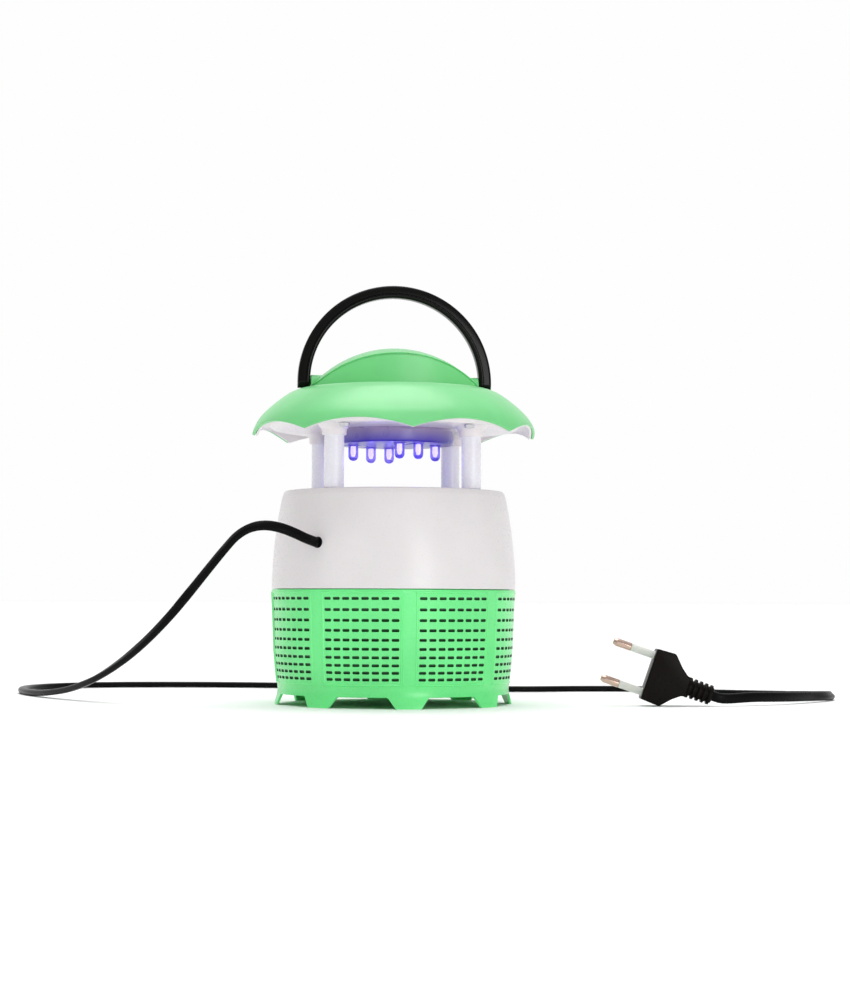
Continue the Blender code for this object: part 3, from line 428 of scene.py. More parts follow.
SMOOTH = {"grain": 1600, "depth": 0.02}
# The cover's copy of the green is greyer and darker than the basket's; the darkening offsets the stronger
# light from above and is painted shade.
GREEN = moulded("green_plastic", (0.145, 0.85, 0.25), 0.3, coat=0.3, **SMOOTH)
COVER_GREEN_SHADED = moulded("cover_green_plastic", (0.165, 0.63, 0.225), 0.38, coat=0.25, **SMOOTH)
# Dark green painted on the slots' edges: painted shade inside the slots.
PAINTED_SLOT_SHADE = moulded("green_painted_shade", (0.006, 0.05, 0.012), 0.5, grain=1600, mottle=0.1)
WHITE = moulded("white_plastic", (0.79, 0.752, 0.762), 0.3, mottle=0.02, scatter=0.05, **SMOOTH)
# The posts glow faintly though they are no lamps: painted light.
FROSTED_PAINTED_GLOW = moulded("frosted_plastic", (0.64, 0.64, 0.67), 0.25, mottle=0.02, scatter=0.25, glow=0.2)
BLACK = moulded("black_plastic", (0.0028, 0.0024, 0.0022), 0.15, grain=1300, depth=0.03, level=0.13)
CORD = moulded("black_cord", (0.003, 0.0028, 0.003), 0.3, depth=0.05, level=0.06)
PLUG_BLACK = moulded("plug_plastic", (0.0045, 0.003, 0.0022), 0.3, depth=0.05, level=0.07)
CORE = moulded("lamp_core", (0.8, 0.8, 0.85), 0.4, mottle=0.1, glow=1.7)
CUP = cup_look()
GREY = moulded("grey_plastic", (0.42, 0.43, 0.46), 0.4)
BOARD = moulded("circuit_board", (0.62, 0.52, 0.30), 0.45, mottle=0.12)
SLEEVE = moulded("pin_sleeve", (0.63, 0.64, 0.59), 0.38, mottle=0.03, scatter=0.1)
STEEL = metal("steel", (0.6, 0.6, 0.62), 0.28)
NICKEL = metal("plug_metal", (0.60, 0.44, 0.36), 0.2)
VIOLET = lamp_look()
LOOKS = {
    "green_plastic": GREEN,
    "white_plastic": WHITE,
    "frosted_plastic": FROSTED_PAINTED_GLOW,
    "black_plastic": BLACK,
    "black_cord": CORD,
    "violet_lamp": VIOLET,
    "grey_plastic": GREY,
    "circuit_board": BOARD,
    "steel": STEEL,
    "plug_metal": NICKEL,
    "pin_sleeve": SLEEVE,
}


# ---------------------------------------------------------------- basket

SLOT_COLUMNS, SLOT_ROWS = 8, 10
SLOT_PITCH, SLOT_WIDE, SLOT_HIGH, SLOT_CORNER = 4.85, 3.6, 1.4, 0.35
SLOT_SLOPE = 1.4
BASKET_WALL = [(60.75, 56.7), (60.2, 47), (59.4, 26), (58.4, 15), (57.3, 7), (59.2, 0)]
PANEL_RIB = 0.35
# One millimetre along the wall, in degrees of azimuth.
DEGREE = math.degrees(1 / 60.2)
OUTSIDE, RIB, INSIDE = range(3)
PANEL_MARKS = [(0.3, RIB), (0.85, RIB), (1.15, OUTSIDE)]


def basket_radius(z):
    """The basket wall's outside radius at a height, in millimetres."""
    heights = [p[1] for p in reversed(BASKET_WALL)]
    radii = [p[0] for p in reversed(BASKET_WALL)]
    near = [float(np.interp(z + d, heights, radii)) for d in (-2, -1, 0, 1, 2)]
    return sum(near) / 5


def foot_edge(s):
    """The height of the wall's lower edge at a distance from the middle of a foot, in millimetres."""
    line = rounded([(0, 0, 0), (6.25, 0, 1.0), (10.4, 5.5, 1.6), (30, 5.5, 0)], 5)
    return float(np.interp(s, [p.x for p in line], [p.y for p in line]))


def panel_lines(rows):
    """The wall's level lines as (height, kind), from the panels' upper edge down to their lower one."""
    limits = [rows[0] + 2.3]
    limits += [(a + b) / 2 for a, b in zip(rows, rows[1:])]
    limits.append(rows[-1] - 2.1)
    top, low = limits[0], limits[-1]
    lines = [(top + m, kind) for m, kind in reversed(PANEL_MARKS)]
    lines += [(z, INSIDE) for z in limits]
    lines += [(low - m, kind) for m, kind in PANEL_MARKS]
    return lines


def panel_columns():
    """The wall's upright lines all round as (azimuth, kind, whether slots follow)."""
    panel = SLOT_COLUMNS * SLOT_PITCH * DEGREE
    band = 360 / SECTORS - panel
    columns = []
    for k in range(SECTORS):
        start, end = 45 * k - band / 2, 45 * k + band / 2
        columns.append((start, INSIDE, False))
        columns += [(start + m * DEGREE, kind, False) for m, kind in PANEL_MARKS]
        columns.append((45 * k, OUTSIDE, False))
        columns += [(end - m * DEGREE, kind, False) for m, kind in reversed(PANEL_MARKS)]
        columns += [(end + j * SLOT_PITCH * DEGREE, INSIDE, True) for j in range(SLOT_COLUMNS)]
    columns.append((columns[0][0] + 360, INSIDE, False))
    return columns


def slot_outline(centre, middle):
    """A slot's eight points as (azimuth, height), clockwise from its upper left corner."""
    half, tall = SLOT_WIDE / 2 * DEGREE, SLOT_HIGH / 2
    chamfer = SLOT_CORNER * DEGREE
    return [
        (centre - half + chamfer, middle + tall),
        (centre + half - chamfer, middle + tall),
        (centre + half, middle + tall - SLOT_CORNER),
        (centre + half, middle - tall + SLOT_CORNER),
        (centre + half - chamfer, middle - tall),
        (centre - half + chamfer, middle - tall),
        (centre - half, middle - tall + SLOT_CORNER),
        (centre - half, middle + tall - SLOT_CORNER),
    ]


def basket_surface():
    """The wall's outer surface, open at its slots: its points, its faces and the slots' points."""
    rows = [52.3 - 5.45 * k + 0.13 * k * k for k in range(SLOT_ROWS)]
    lines = panel_lines(rows)
    columns = panel_columns()
    collar = [(57.4, 63.5), (57.4, 57.4), (57.7, 56.85), (58.2, 56.7)]
    collar += [(60.35, 56.7), (60.65, 56.55), (60.75, 56.2)]
    verts, faces, known, slots = [], [], {}, set()

    def vertex(azimuth, radius, z):
        key = (round(azimuth % 360, 4), round(radius, 3), round(z, 3))
        if key not in known:
            known[key] = len(verts)
            verts.append(around(azimuth, radius * MM, z * MM))
        return known[key]

    def wall(azimuth, z, column=OUTSIDE, line=OUTSIDE):
        raised = OUTSIDE not in (column, line) and RIB in (column, line)
        return vertex(azimuth, basket_radius(z) + (PANEL_RIB if raised else 0), z)

    def slotted_cell(corners, outline):
        h = [wall(azimuth, z) for azimuth, z in outline]
        slots.update(h)
        faces.append((corners[0], corners[1], h[1], h[0]))
        faces.append((corners[1], h[2], h[1]))
        faces.append((corners[1], corners[2], h[3], h[2]))
        faces.append((corners[2], h[4], h[3]))
        faces.append((corners[2], corners[3], h[5], h[4]))
        faces.append((corners[3], h[6], h[5]))
        faces.append((corners[3], corners[0], h[7], h[6]))
        faces.append((corners[0], h[0], h[7]))

    def skirt(a, b, fine):
        steps = [a + (b - a) * i / fine for i in range(fine + 1)]
        last = lines[-1][0]
        below = last - 1.0
        grid = [[wall(s, below) for s in steps]]
        for i in range(1, 9):
            row = []
            for s in steps:
                away = abs((s + 22.5) % 45 - 22.5) / DEGREE
                row.append(wall(s, below + (foot_edge(away) - below) * i / 8))
            grid.append(row)
        faces.append((wall(a, last), wall(b, last), *reversed(grid[0])))
        for upper, lower in zip(grid, grid[1:]):
            for i in range(fine):
                faces.append((upper[i], upper[i + 1], lower[i + 1], lower[i]))

    for (a, kind_a, slotted), (b, kind_b, _) in zip(columns, columns[1:]):
        for (r1, z1), (r2, z2) in zip(collar, collar[1:]):
            faces.append((vertex(a, r1, z1), vertex(b, r1, z1), vertex(b, r2, z2), vertex(a, r2, z2)))
        r, z = collar[-1]
        faces.append((vertex(a, r, z), vertex(b, r, z), wall(b, lines[0][0]), wall(a, lines[0][0])))
        for (high, upper), (down, lower) in zip(lines, lines[1:]):
            corners = [
                wall(a, high, kind_a, upper),
                wall(b, high, kind_b, upper),
                wall(b, down, kind_b, lower),
                wall(a, down, kind_a, lower),
            ]
            if slotted and RIB not in (upper, lower):
                middle = next(z for z in rows if down < z < high)
                slotted_cell(corners, slot_outline((a + b) / 2, middle))
            else:
                faces.append(tuple(corners))
        skirt(a, b, 10 if slotted else 1)
    return verts, faces, slots


def basket():
    """The slotted basket: a collar, a wall of eight slotted panels and plain bands, and eight feet."""
    verts, faces, slots = basket_surface()
    mesh = bpy.data.meshes.new("basket_wall")
    mesh.from_pydata([tuple(v) for v in verts], [], faces)
    bm = bmesh.new()
    bm.from_mesh(mesh)
    bmesh.ops.recalc_face_normals(bm, faces=bm.faces)
    outer = max(bm.faces, key=lambda f: f.calc_center_median().xy.length)
    if outer.normal.dot(Vector((*outer.calc_center_median().xy, 0))) < 0:
        bmesh.ops.reverse_faces(bm, faces=bm.faces)
    bm.to_mesh(mesh)
    bm.free()
    made = bpy.data.objects.new("basket_wall", mesh)
    scene.collection.objects.link(made)
    step = made.modifiers.new("wall", "SOLIDIFY")
    step.thickness, step.offset = 0.0012, -1
    applied(made)
    mesh = made.data
    # The wall's inner side lies a little lower, so that the slots slope down and inward.
    for v in mesh.vertices[len(verts):2 * len(verts)]:
        z = v.co.z / MM
        fall = SLOT_SLOPE * min(1, max(0, (56 - z) / 2.5)) * min(1, max(0, (z - 6) / 5))
        v.co.z = max(v.co.z - fall * MM, 0)
    bpy.data.objects.remove(made)
    made = piece("basket_wall", mesh, GREEN, BASKET, 40)
    mesh.materials.append(PAINTED_SLOT_SHADE)
    # The slots' edges take the dark green of painted shade, standing for the shade inside the slots.
    for face in mesh.polygons:
        outer = [i for i in face.vertices if i < len(verts)]
        if 0 < len(outer) < len(face.vertices) and all(i in slots for i in outer):
            face.material_index = 1
    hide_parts("basket")
    line = [(0, 7.8, 0), (54.5, 7.8, 1.2), (56.4, 9.6, 0.3), (57.0, 9.2, 0.3), (56.6, 6, 0.8), (0, 6, 0)]
    piece("basket_floor", lathe("basket_floor", rounded(line)), GREEN, BASKET)


# ---------------------------------------------------------------- housing


def housing():
    """The white barrel with its deck, the air duct's tube in it and the cord's bush."""
    wall = [(60.75 - 4.95 * max(0, (z - 57) / 46) ** 1.9, z) for z in range(58, 102, 2)]
    points = [(59.2, 57, 0.3), (60.75, 57, 0.3)]
    points += [(r, z, 0) for r, z in wall]
    points += [(55.75, 102.8, 0.8), (54.7, 105.5, 1.3), (46.5, 105.5, 0)]
    points += [(38.3, 105.5, 0.9), (38.3, 64, 0.4)]
    points += [(40.1, 64, 0.4), (40.1, 103.5, 0.5), (53.1, 103.5, 0.8)]
    points += [(r - 1.6, z, 0) for r, z in reversed(wall)]
    mesh = lathe("housing_shell", rounded(points, 4), 128)
    made = piece("housing_shell", mesh, WHITE, TRAP, 30)
    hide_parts("housing")
    side = around(CORD_AZIMUTH, 1).to_track_quat("Z", "Y").to_matrix().to_4x4()
    spot = Matrix.Translation(around(CORD_AZIMUTH, 0.0597, 0.079))
    line = rounded([(0, 0.3, 0), (2.4, 0.28, 0.2), (2.75, 0.05, 0.2), (2.75, -4.0, 0.2), (0, -4.0, 0)], 4)
    mesh = lathe("cord_bush", line, 48)
    mesh.transform(spot @ side)
    made = piece("cord_bush", mesh, CORD, TRAP)
    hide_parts("cord_gland")


# ---------------------------------------------------------------- shade

ARCH = 76.5
COVER_ARCH_TOP, LINER_ARCH_TOP = 138.2, 137.4
COVER_WALL, LINER_WALL = 0.0014, 0.0012
COVER_LINE = [
    (38, 156.6), (44, 156.6), (47, 156.45), (49.5, 155.8), (53.2, 154.1), (58.3, 150.5),
    (63.4, 146.2), (66.3, 143.2), (68.4, 140.4), (69.8, 137.6), (70.7, 135.2), (71.3, 132.0),
]
LINER_LINE = [
    (38, 136.3), (56, 136.3), (59.6, 136.35), (60.6, 136.5), (61.6, 137.3), (62.8, 138.2),
    (64.4, 138.6), (65.8, 138.5), (66.6, 137.9), (67.1, 137.1), (67.6, 135.8), (68.0, 134.2),
    (68.5, 131.2),
]


def spline(points, count):
    """Evenly spaced points on a smooth curve through the given ones."""
    points = [Vector(p) for p in points]
    ends = [points[0] * 2 - points[1], *points, points[-1] * 2 - points[-2]]
    fine = []
    for a, b, c, d in zip(ends, ends[1:], ends[2:], ends[3:]):
        for step in range(16):
            t = step / 16
            fine.append(
                0.5 * (2 * b + (c - a) * t + (2 * a - 5 * b + 4 * c - d) * t**2
                       + (3 * b - a - 3 * c + d) * t**3)
            )
    fine.append(points[-1])
    fine = np.array([tuple(p) for p in fine])
    along = np.concatenate([[0], np.cumsum(np.linalg.norm(np.diff(fine, axis=0), axis=1))])
    at = np.linspace(0, along[-1], count)
    return [Vector([float(np.interp(x, along, fine[:, k])) for k in range(fine.shape[1])]) for x in at]


def umbrella(name, line, arch_top, thick):
    """A shell along a round profile, its rim scalloped by eight arches between the tips.

    A negative thickness grows inward.
    """
    count, uncut = 300, 200
    fine = np.array([tuple(p) for p in spline(line, count)])
    columns, rows = 256, 40
    verts, faces = [(0, 0, fine[0][1] * MM)], []
    for r in (12, 24):
        verts += [around(360 * k / columns, r * MM, fine[0][1] * MM) for k in range(columns)]
    for i in range(rows + 1):
        for k in range(columns):
            azimuth = 360 * k / columns
            off = math.radians(azimuth % 45 - 22.5)
            rim = arch_top - ARCH + np.sqrt(ARCH**2 - (fine[:, 0] * math.sin(off)) ** 2)
            inside = fine[:, 1] >= rim
            inside[:uncut] = True
            end = int(np.argmin(inside)) if not inside.all() else len(fine) - 1
            last = float(end)
            if 0 < end < len(fine) and not inside[end]:
                over, under = fine[end - 1][1] - rim[end - 1], rim[end] - fine[end][1]
                last = end - 1 + over / (over + under)
            at = last * i / rows
            r = float(np.interp(at, np.arange(len(fine)), fine[:, 0]))
            z = float(np.interp(at, np.arange(len(fine)), fine[:, 1]))
            verts.append(around(azimuth, r * MM, z * MM))
    for k in range(columns):
        n = (k + 1) % columns
        faces.append((0, 1 + k, 1 + n))
        for i in range(rows + 2):
            a, b = 1 + i * columns, 1 + (i + 1) * columns
            faces.append((a + k, b + k, b + n, a + n))
    mesh = bpy.data.meshes.new(name)
    mesh.from_pydata([tuple(v) for v in verts], [], faces)
    made = bpy.data.objects.new(name, mesh)
    scene.collection.objects.link(made)
    step = made.modifiers.new("wall", "SOLIDIFY")
    step.thickness, step.offset = abs(thick), 1 if thick > 0 else -1
    step.use_even_offset = True
    if mesh.polygons[0].normal.z < 0:
        mesh.flip_normals()
    step = made.modifiers.new("edge", "BEVEL")
    step.width, step.segments = 0.0003, 2
    step.limit_method, step.angle_limit = "ANGLE", math.radians(60)
    applied(made)
    mesh = made.data
    bpy.data.objects.remove(made)
    return mesh


def pegs(places, radius, low, high, steps=32):
    """A mesh of upright round cutters, in metres."""
    bm = bmesh.new()
    for x, y in places:
        at = Matrix.Translation((x, y, (low + high) / 2))
        bmesh.ops.create_cone(
            bm, cap_ends=True, segments=steps, radius1=radius, radius2=radius, depth=high - low, matrix=at
        )
    mesh = bpy.data.meshes.new("pegs")
    bm.to_mesh(mesh)
    bm.free()
    return mesh


def shade():
    """The green cover, the white lining with its sockets, the lamps' cup and the frosted posts."""
    mesh = umbrella("cover_shell", COVER_LINE, COVER_ARCH_TOP, -COVER_WALL)
    cover = piece("cover_shell", mesh, COVER_GREEN_SHADED, TRAP, 30)
    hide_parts("top_cover")
    mesh = umbrella("lining_shell", LINER_LINE, LINER_ARCH_TOP, LINER_WALL)
    lining = piece("lining_shell", mesh, WHITE, TRAP, 30)
    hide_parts("shade_liner")
    cut(lining, pegs([(0, 0)], 0.029, 0.134, 0.14, 96))
    line = [(0, 129, 0), (29.7, 129, 1.4), (29.7, 135.6, 0.8), (31.5, 136.35, 0.4)]
    line += [(31.5, 137.4, 0.2), (28.1, 137.4, 0.3), (28.1, 130.6, 0.5), (0, 130.6, 0)]
    cup = piece("lamp_cup", lathe("lamp_cup", rounded(line, 4)), CUP, TRAP)
    cut(cup, pegs([around(a, LED_RING).xy for a in LED_AZIMUTHS], 0.0031, 0.127, 0.132))
    cut(lining, pegs([around(a, SHADE_SCREW_RING).xy for a in SHADE_SCREW_AZIMUTHS], 0.0015, 0.134, 0.14))
    for k, azimuth in enumerate(PILLAR_AZIMUTHS, 1):
        line = [(4.9, 131.2, 0.3), (5.9, 131.2, 0.5), (6.15, 134.2, 1.5)]
        line += [(8.2, 136.4, 1.2), (10, 136.8, 0), (4.9, 136.8, 0)]
        mesh = lathe(f"lining_socket_{k}", rounded(line, 5), 48)
        mesh.transform(Matrix.Translation(around(azimuth, PILLAR_RING)))
        piece(f"lining_socket_{k}", mesh, WHITE, TRAP)
        line = rounded([(2.4, 105.8, 0.2), (4.8, 105.8, 0.5), (4.8, 134.7, 0.3), (2.4, 134.7, 0.2)], 4)
        mesh = lathe(f"post_{k}", line, 48)
        mesh.transform(Matrix.Translation(around(azimuth, PILLAR_RING)))
        made = piece(f"post_{k}", mesh, FROSTED_PAINTED_GLOW, TRAP)
        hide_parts(f"pillar_{k}")
    grip()


def grip():
    """The domed grip block, a ball's cap narrowed to a lens with a beaded edge, and the two bosses."""
    peak, sphere, columns, edge, ledge = 177.4, 55.2, 160, 0.9, 156.3
    centre = peak - sphere
    arc, arc_back, half_wide, sharpness = 100, 80, 42, 22
    rings = []

    def reach(a):
        """How far the lens reaches at an azimuth: two arcs cut off softly at the ends."""
        c = arc_back * abs(math.cos(a))
        lens = -c + math.sqrt(c**2 - arc_back**2 + arc**2)
        return (lens**-sharpness + half_wide**-sharpness) ** (-1 / sharpness)

    angles = [2 * math.pi * k / columns for k in range(columns)]
    levels = []
    for share in np.linspace(0.06, 1, 14):
        levels.append((float(share), 0, 0))
    for t in (18, 36, 54, 72, 90):
        levels.append((1, math.sin(math.radians(t)) * edge, -(1 - math.cos(math.radians(t))) * 0.35))
    walls = [(edge, -0.6), (edge - 0.7, -0.8), (edge - 0.7, -1.3), (edge, -1.5)]
    for share, out, drop in levels:
        ring = []
        for a in angles:
            r = (reach(a) - edge) * share
            z = centre + math.sqrt(sphere**2 - r * r) + drop
            ring.append(Vector(((r + out) * math.sin(a), -(r + out) * math.cos(a), z)) * MM)
        rings.append(ring)
    for out, drop in walls:
        ring = []
        for a in angles:
            r = reach(a) - edge
            z = max(centre + math.sqrt(sphere**2 - r * r) + drop, ledge)
            ring.append(Vector(((r + out) * math.sin(a), -(r + out) * math.cos(a), z)) * MM)
        rings.append(ring)
    for out, z in ((edge, ledge - 0.1), (edge - 1, ledge - 0.7)):
        ring = []
        for a in angles:
            r = reach(a) - edge
            ring.append(Vector(((r + out) * math.sin(a), -(r + out) * math.cos(a), z)) * MM)
        rings.append(ring)
    piece("grip_dome", loft("grip_dome", rings), COVER_GREEN_SHADED, TRAP, 40)
    radius, height = 3.4, PIVOT.z / MM
    turns = [math.pi * (1 - k / 24) for k in range(25)]
    outline = [(-radius, 155.5 - height)]
    outline += [(radius * math.cos(t), radius * math.sin(t)) for t in turns]
    outline += [(radius, 155.5 - height)]
    for side in (-1, 1):
        rings = []
        for x, inset in ((34, 0), (41.8, 0), (42.1, 0.1), (42.3, 0.4)):
            shrink = (radius - inset) / radius
            rings.append([Vector((side * x, y * shrink, height + z * shrink)) * MM for y, z in outline])
        name = "grip_boss_right" if side > 0 else "grip_boss_left"
        piece(name, loft(name, rings), COVER_GREEN_SHADED, TRAP, 40)


def bail():
    """The half-round bail, grooved along its inner third, with its legs' ends round about the pivots."""
    out, across, fillet = 3.1, 3.2, 1.3
    groove = [(-0.75, 0), (-1.0, 0.5), (-1.35, 0.5), (-1.6, 0)]
    section = []
    for sx, sy, first in ((1, 1, 0), (-1, 1, 90), (-1, -1, 180), (1, -1, 270)):
        for k in range(6):
            t = math.radians(first + 18 * k)
            x = sx * (out - fillet) + fillet * math.cos(t)
            y = sy * (across - fillet) + fillet * math.sin(t)
            section.append((x, y))
        if first in (0, 180):
            section += [(x, sy * (across - deep)) for x, deep in groove[::sx]]
    rings = []

    def ring(low, share, swing):
        turn = Matrix.Rotation(-swing, 4, "Y")
        place = Matrix.Translation(PIVOT) @ turn
        return [place @ (Vector((BAIL_RADIUS / MM + x, y * share, low)) * MM) for x, y in section]

    tips = [math.radians(90 * k / 8) for k in range(8, -1, -1)]
    for a in tips:
        rings.append(ring(-across * math.sin(a), max(math.cos(a), 0.03), 0))
    for k in range(1, 97):
        rings.append(ring(0, 1, math.pi * k / 96))
    for a in reversed(tips[:-1]):
        rings.append(ring(across * math.sin(a), max(math.cos(a), 0.03), math.pi))
    made = piece("bail_arc", loft("bail_arc", rings), BLACK, BAIL, 40)
    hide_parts("handle")
    line = rounded([(0, 36.8, 0), (1.5, 36.8, 0.2), (1.5, 44, 0.1), (0, 44, 0)], 3)
    for side, name in ((-1, "bail_stud_left"), (1, "bail_stud_right")):
        mesh = lathe(name, line, 32)
        mesh.transform(Matrix.Translation(PIVOT) @ Matrix.Rotation(side * math.pi / 2, 4, "Y"))
        piece(name, mesh, BLACK, BAIL)


LEG_PITCH = 0.00254
LAMP_POWER = 0.0016
LAMP_COLOUR = (0.16, 0.1, 1.0)
LAMP_LIGHT_HEIGHT = 0.1195
LAMP_LIGHTS = [
    (-0.007, -0.012),
    (0.012, -0.004),
    (0.0, 0.008),
    (0.006, -0.026),
    (-0.013, -0.026),
    (-0.012, 0.0),
]


def lamps():
    """Six lamps of 5 mm with their pale cores and wire legs, and the light they give."""
    radius, tip = 2.5, 121
    turns = [math.radians(a) for a in range(0, 90, 10)]
    line = [(0, 129.6), (2.75, 129.6), (2.9, 129.45), (2.9, 128.75), (2.75, 128.6), (radius, 128.55)]
    line += [(radius * math.cos(t), tip + radius * (1 - math.sin(t))) for t in turns]
    line += [(0, tip)]
    core = [(0, 128.4, 0), (0.85, 128.4, 0.2), (0.95, 125.2, 0.3), (0.6, 123.4, 0.4), (0, 123.2, 0)]
    wire = rounded([(0, 129.0, 0), (0.28, 129.0, 0.05), (0.28, 139.1, 0.05), (0, 139.1, 0)], 2)
    for k, azimuth in enumerate(LED_AZIMUTHS, 1):
        turn = Matrix.Rotation(math.radians(azimuth), 4, "Z")
        place = Matrix.Translation(around(azimuth, LED_RING)) @ turn
        mesh = lathe("lamp", line, 40)
        mesh.transform(place)
        made = piece(f"lamp_{k}", mesh, VIOLET, TRAP)
        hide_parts(f"led_{k}")
        mesh = lathe("lamp_core", rounded(core, 4), 24)
        mesh.transform(place)
        piece(f"lamp_{k}_core", mesh, CORE, TRAP)
        for side in (-1, 1):
            mesh = lathe("lamp_leg", wire, 12)
            mesh.transform(place @ Matrix.Translation((side * LEG_PITCH / 2, 0, 0)))
            piece(f"lamp_{k}_leg_{(side + 3) // 2}", mesh, STEEL, TRAP)
    for x, y in LAMP_LIGHTS:
        data = bpy.data.lights.new("lamp_light", "POINT")
        data.energy = LAMP_POWER
        data.color = LAMP_COLOUR
        data.shadow_soft_size = 0.001
        made = bpy.data.objects.new("lamp_light", data)
        scene.collection.objects.link(made)
        made.location = (x, y, LAMP_LIGHT_HEIGHT)
        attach(made, TRAP)


# ---------------------------------------------------------------- cord and plug

PLUG_FACE = (0.1225, -0.0308, 0.016)
PLUG_TILT = 19.0
PLUG_TURN = -7.3
PLUG_THICK = 12.0
PLUG_BODY_LENGTH = 20.0
PLUG_LENGTH = 33.5
PLUG_EDGE = 0.0017
PIN_SPACING = 19.0
PLUG_PLACE = (
    Matrix.Translation(PLUG_FACE)
    @ Matrix.Rotation(math.radians(PLUG_TURN), 4, "Z")
    @ Matrix.Rotation(math.radians(PLUG_TILT), 4, "Y")
)
CORD_ROUTE = [
    around(-45, 0.0604, 0.079),
    (-0.0481, -0.0475, 0.0807),
    (-0.0541, -0.0507, 0.0832),
    (-0.0607, -0.0522, 0.0855),
    (-0.0676, -0.0519, 0.0866),
    (-0.0743, -0.0499, 0.0856),
    (-0.0807, -0.0464, 0.0819),
    (-0.0865, -0.0419, 0.0754),
    (-0.0935, -0.0363, 0.0665),
    (-0.1022, -0.0290, 0.0552),
    (-0.1125, -0.0205, 0.0424),
    (-0.1240, -0.0075, 0.0300),
    (-0.1360, 0.0090, 0.0194),
    (-0.1480, 0.0280, 0.0112),
    (-0.1605, 0.0520, 0.0055),
    (-0.1735, 0.0795, 0.0025),
    (-0.1830, 0.1080, CORD_FLOOR),
    (-0.1870, 0.1380, CORD_FLOOR),
    (-0.1825, 0.1675, CORD_FLOOR),
    (-0.1670, 0.1920, CORD_FLOOR),
    (-0.1400, 0.2065, CORD_FLOOR),
    (-0.1025, 0.2085, CORD_FLOOR),
    (-0.0600, 0.2005, CORD_FLOOR),
    (-0.0170, 0.1835, CORD_FLOOR),
    (0.0240, 0.1620, CORD_FLOOR),
    (0.0600, 0.1420, CORD_FLOOR),
    (0.0910, 0.1335, CORD_FLOOR),
    (0.1225, 0.1372, CORD_FLOOR),
    (0.1540, 0.1335, CORD_FLOOR),
    (0.1735, 0.1090, CORD_FLOOR),
    (0.1895, 0.0835, CORD_FLOOR),
    (0.2135, 0.0677, CORD_FLOOR),
    (0.2300, 0.0545, 0.0019),
    (0.2368, 0.0350, 0.0023),
    (0.2295, 0.0155, 0.0028),
    (0.2145, -0.0020, 0.0033),
    (0.1960, -0.0192, 0.0038),
    (0.1760, -0.0310, 0.0042),
    PLUG_PLACE @ Vector((PLUG_LENGTH * MM + 0.006, 0, 0.0006)),
    PLUG_PLACE @ Vector((PLUG_LENGTH * MM - 0.001, 0, 0)),
]
TWIST_AT = [0, 0.02, 0.04, 0.09, 0.14, 0.19, 0.27, 0.84, 0.925, 1]
TWIST = [85, 80, 48, 72, 60, 12, 0, 0, 90, 90]


def power_cord(with_pieces):
    """The flat two-core cord, twisted flat on the ground behind and on its edge near the plug."""
    line = spline(CORD_ROUTE, 420)
    total = len(line) - 1
    core, radius, waist = 0.9, 1.6, 1.46
    section = []
    for side in (1, -1):
        for k in range(9):
            t = math.radians(-80 + 20 * k)
            section.append((side * (core + radius * math.cos(t)), side * radius * math.sin(t)))
        section.append((0, side * waist))
    rings, path = [], []
    for i, here in enumerate(line):
        ahead = line[min(i + 1, total)] - line[max(i - 1, 0)]
        ahead.normalize()
        across = ahead.cross(Vector((0, 0, 1))).normalized()
        up = across.cross(ahead).normalized()
        twist = math.radians(float(np.interp(i / total, TWIST_AT, TWIST)))
        wide = across * math.cos(twist) + up * math.sin(twist)
        thin = up * math.cos(twist) - across * math.sin(twist)
        lowest = (radius + core * abs(math.sin(twist))) * MM
        centre = Vector((here.x, here.y, max(here.z, lowest)))
        path.append(centre)
        rings.append([centre + (wide * x + thin * y) * MM for x, y in section])
    made = piece("flat_cord", loft("flat_cord", rings), CORD, TRAP, 50)
    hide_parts("power_cord")


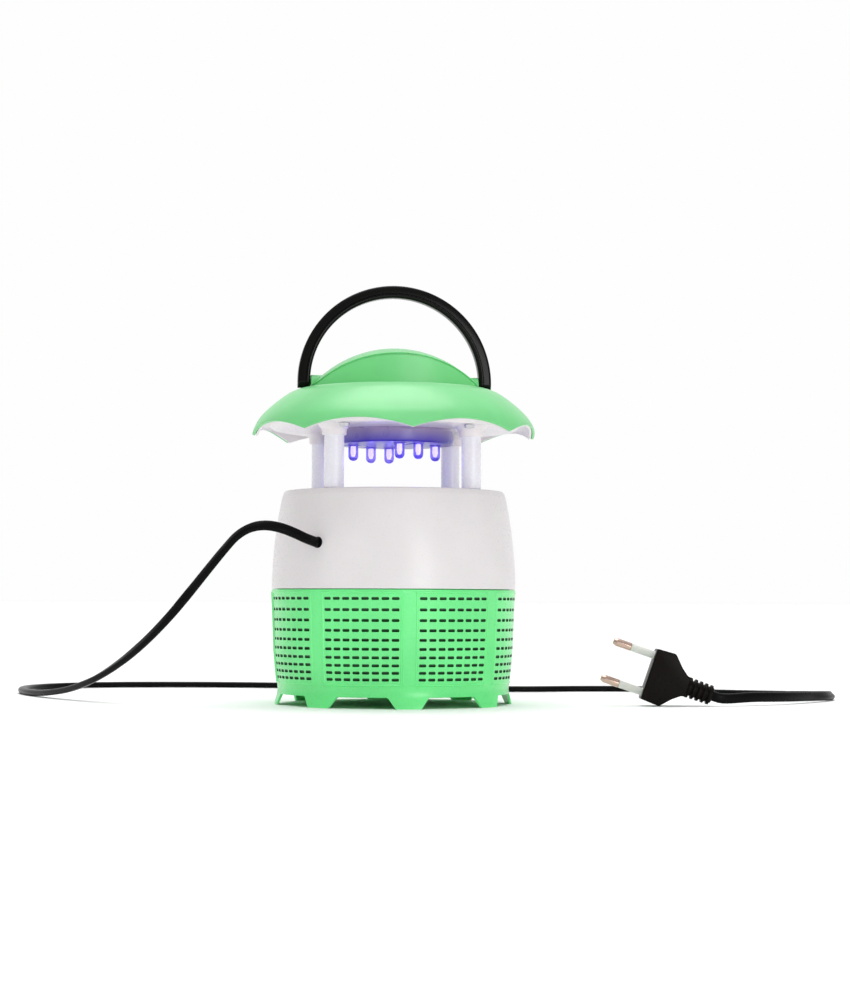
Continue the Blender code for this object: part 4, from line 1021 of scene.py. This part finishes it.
def plug():
    """The flat two-pin plug on its edge, its ribbed relief, and its pins with their sleeves."""
    half = [(0, 0, 0), (0, 13, 1), (9.6, 13.5, 2.2), (14.6, 8.2, 4), (18.4, 5.2, 2), (20.3, 4.9, 0)]
    edge = rounded(half, 5)[1:]
    outline = [*edge, *[Vector((p.x, -p.y)) for p in reversed(edge)]]
    bm = bmesh.new()
    face = bm.faces.new([bm.verts.new((p.x * MM, -PLUG_THICK / 2 * MM, p.y * MM)) for p in outline])
    grown = bmesh.ops.extrude_face_region(bm, geom=[face])
    moved = [v for v in grown["geom"] if isinstance(v, bmesh.types.BMVert)]
    bmesh.ops.translate(bm, vec=(0, PLUG_THICK * MM, 0), verts=moved)
    bmesh.ops.recalc_face_normals(bm, faces=bm.faces)
    rims = [e for e in bm.edges if abs(e.verts[0].co.y - e.verts[1].co.y) < 0.000001]
    bmesh.ops.bevel(
        bm, geom=rims, offset=PLUG_EDGE, segments=4, profile=0.5, affect="EDGES", clamp_overlap=True
    )
    mesh = bpy.data.meshes.new("plug_shell")
    bm.to_mesh(mesh)
    bm.free()
    mesh.transform(PLUG_PLACE)
    shell = piece("plug_shell", mesh, PLUG_BLACK, TRAP, 45)
    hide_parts("plug_body")
    neck = 3.9
    ribs = [(0, 4, 0), (neck, 4, 0)]
    for k in range(5):
        start = 0.2 + 2.7 * k
        rib = 5.15 - 0.06 * k
        ribs += [(neck, -start, 0.2), (rib, -start - 0.25, 0.35)]
        ribs += [(rib, -start - 1.6, 0.35), (neck, -start - 1.85, 0.2)]
    ribs += [(neck, -13.2, 0.2), (3.4, -13.5, 0.2), (0, -13.5, 0)]
    mesh = lathe("plug_relief", rounded(ribs, 3), 64)
    turn = Matrix.Rotation(-math.pi / 2, 4, "Y")
    mesh.transform(PLUG_PLACE @ Matrix.Translation((PLUG_BODY_LENGTH * MM, 0, 0)) @ turn)
    relief = piece("plug_relief", mesh, PLUG_BLACK, TRAP, 40)
    together = [shell, relief]
    metal_line = [(0, 21.2, 0), (1.3, 21.2, 0.5), (2.0, 19.4, 0.8), (2.0, 12.1, 0.1)]
    metal_line += [(1.2, 12.1, 0), (1.2, -1, 0), (0, -1, 0)]
    cover_line = [(1.25, 11.9, 0), (1.9, 11.9, 0.15), (1.9, 0.4, 0.1), (2.15, -0.3, 0), (1.25, -0.3, 0)]
    for k, side in enumerate((-1, 1), 1):
        place = PLUG_PLACE @ Matrix.Translation((0, 0, side * PIN_SPACING / 2 * MM)) @ turn
        mesh = lathe(f"pin_metal_{k}", rounded(metal_line, 5), 40)
        mesh.transform(place)
        pin = piece(f"pin_metal_{k}", mesh, NICKEL, TRAP)
        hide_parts(f"plug_pin_{k}")
        mesh = lathe(f"pin_cover_{k}", rounded(cover_line, 3), 40)
        mesh.transform(place)
        sleeve = piece(f"pin_cover_{k}", mesh, SLEEVE, TRAP)
        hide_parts(f"pin_sleeve_{k}")
        together += [pin, sleeve]
    return together


def kept_nodes():
    """The frame's own parts that stay in view take these materials."""
    for node in frame["nodes"].values():
        for place in node.material_slots:
            place.material = LOOKS[place.material.name.split(".")[0]]


studio()
camera()
power_cord(plug())
basket()
housing()
shade()
bail()
lamps()
kept_nodes()
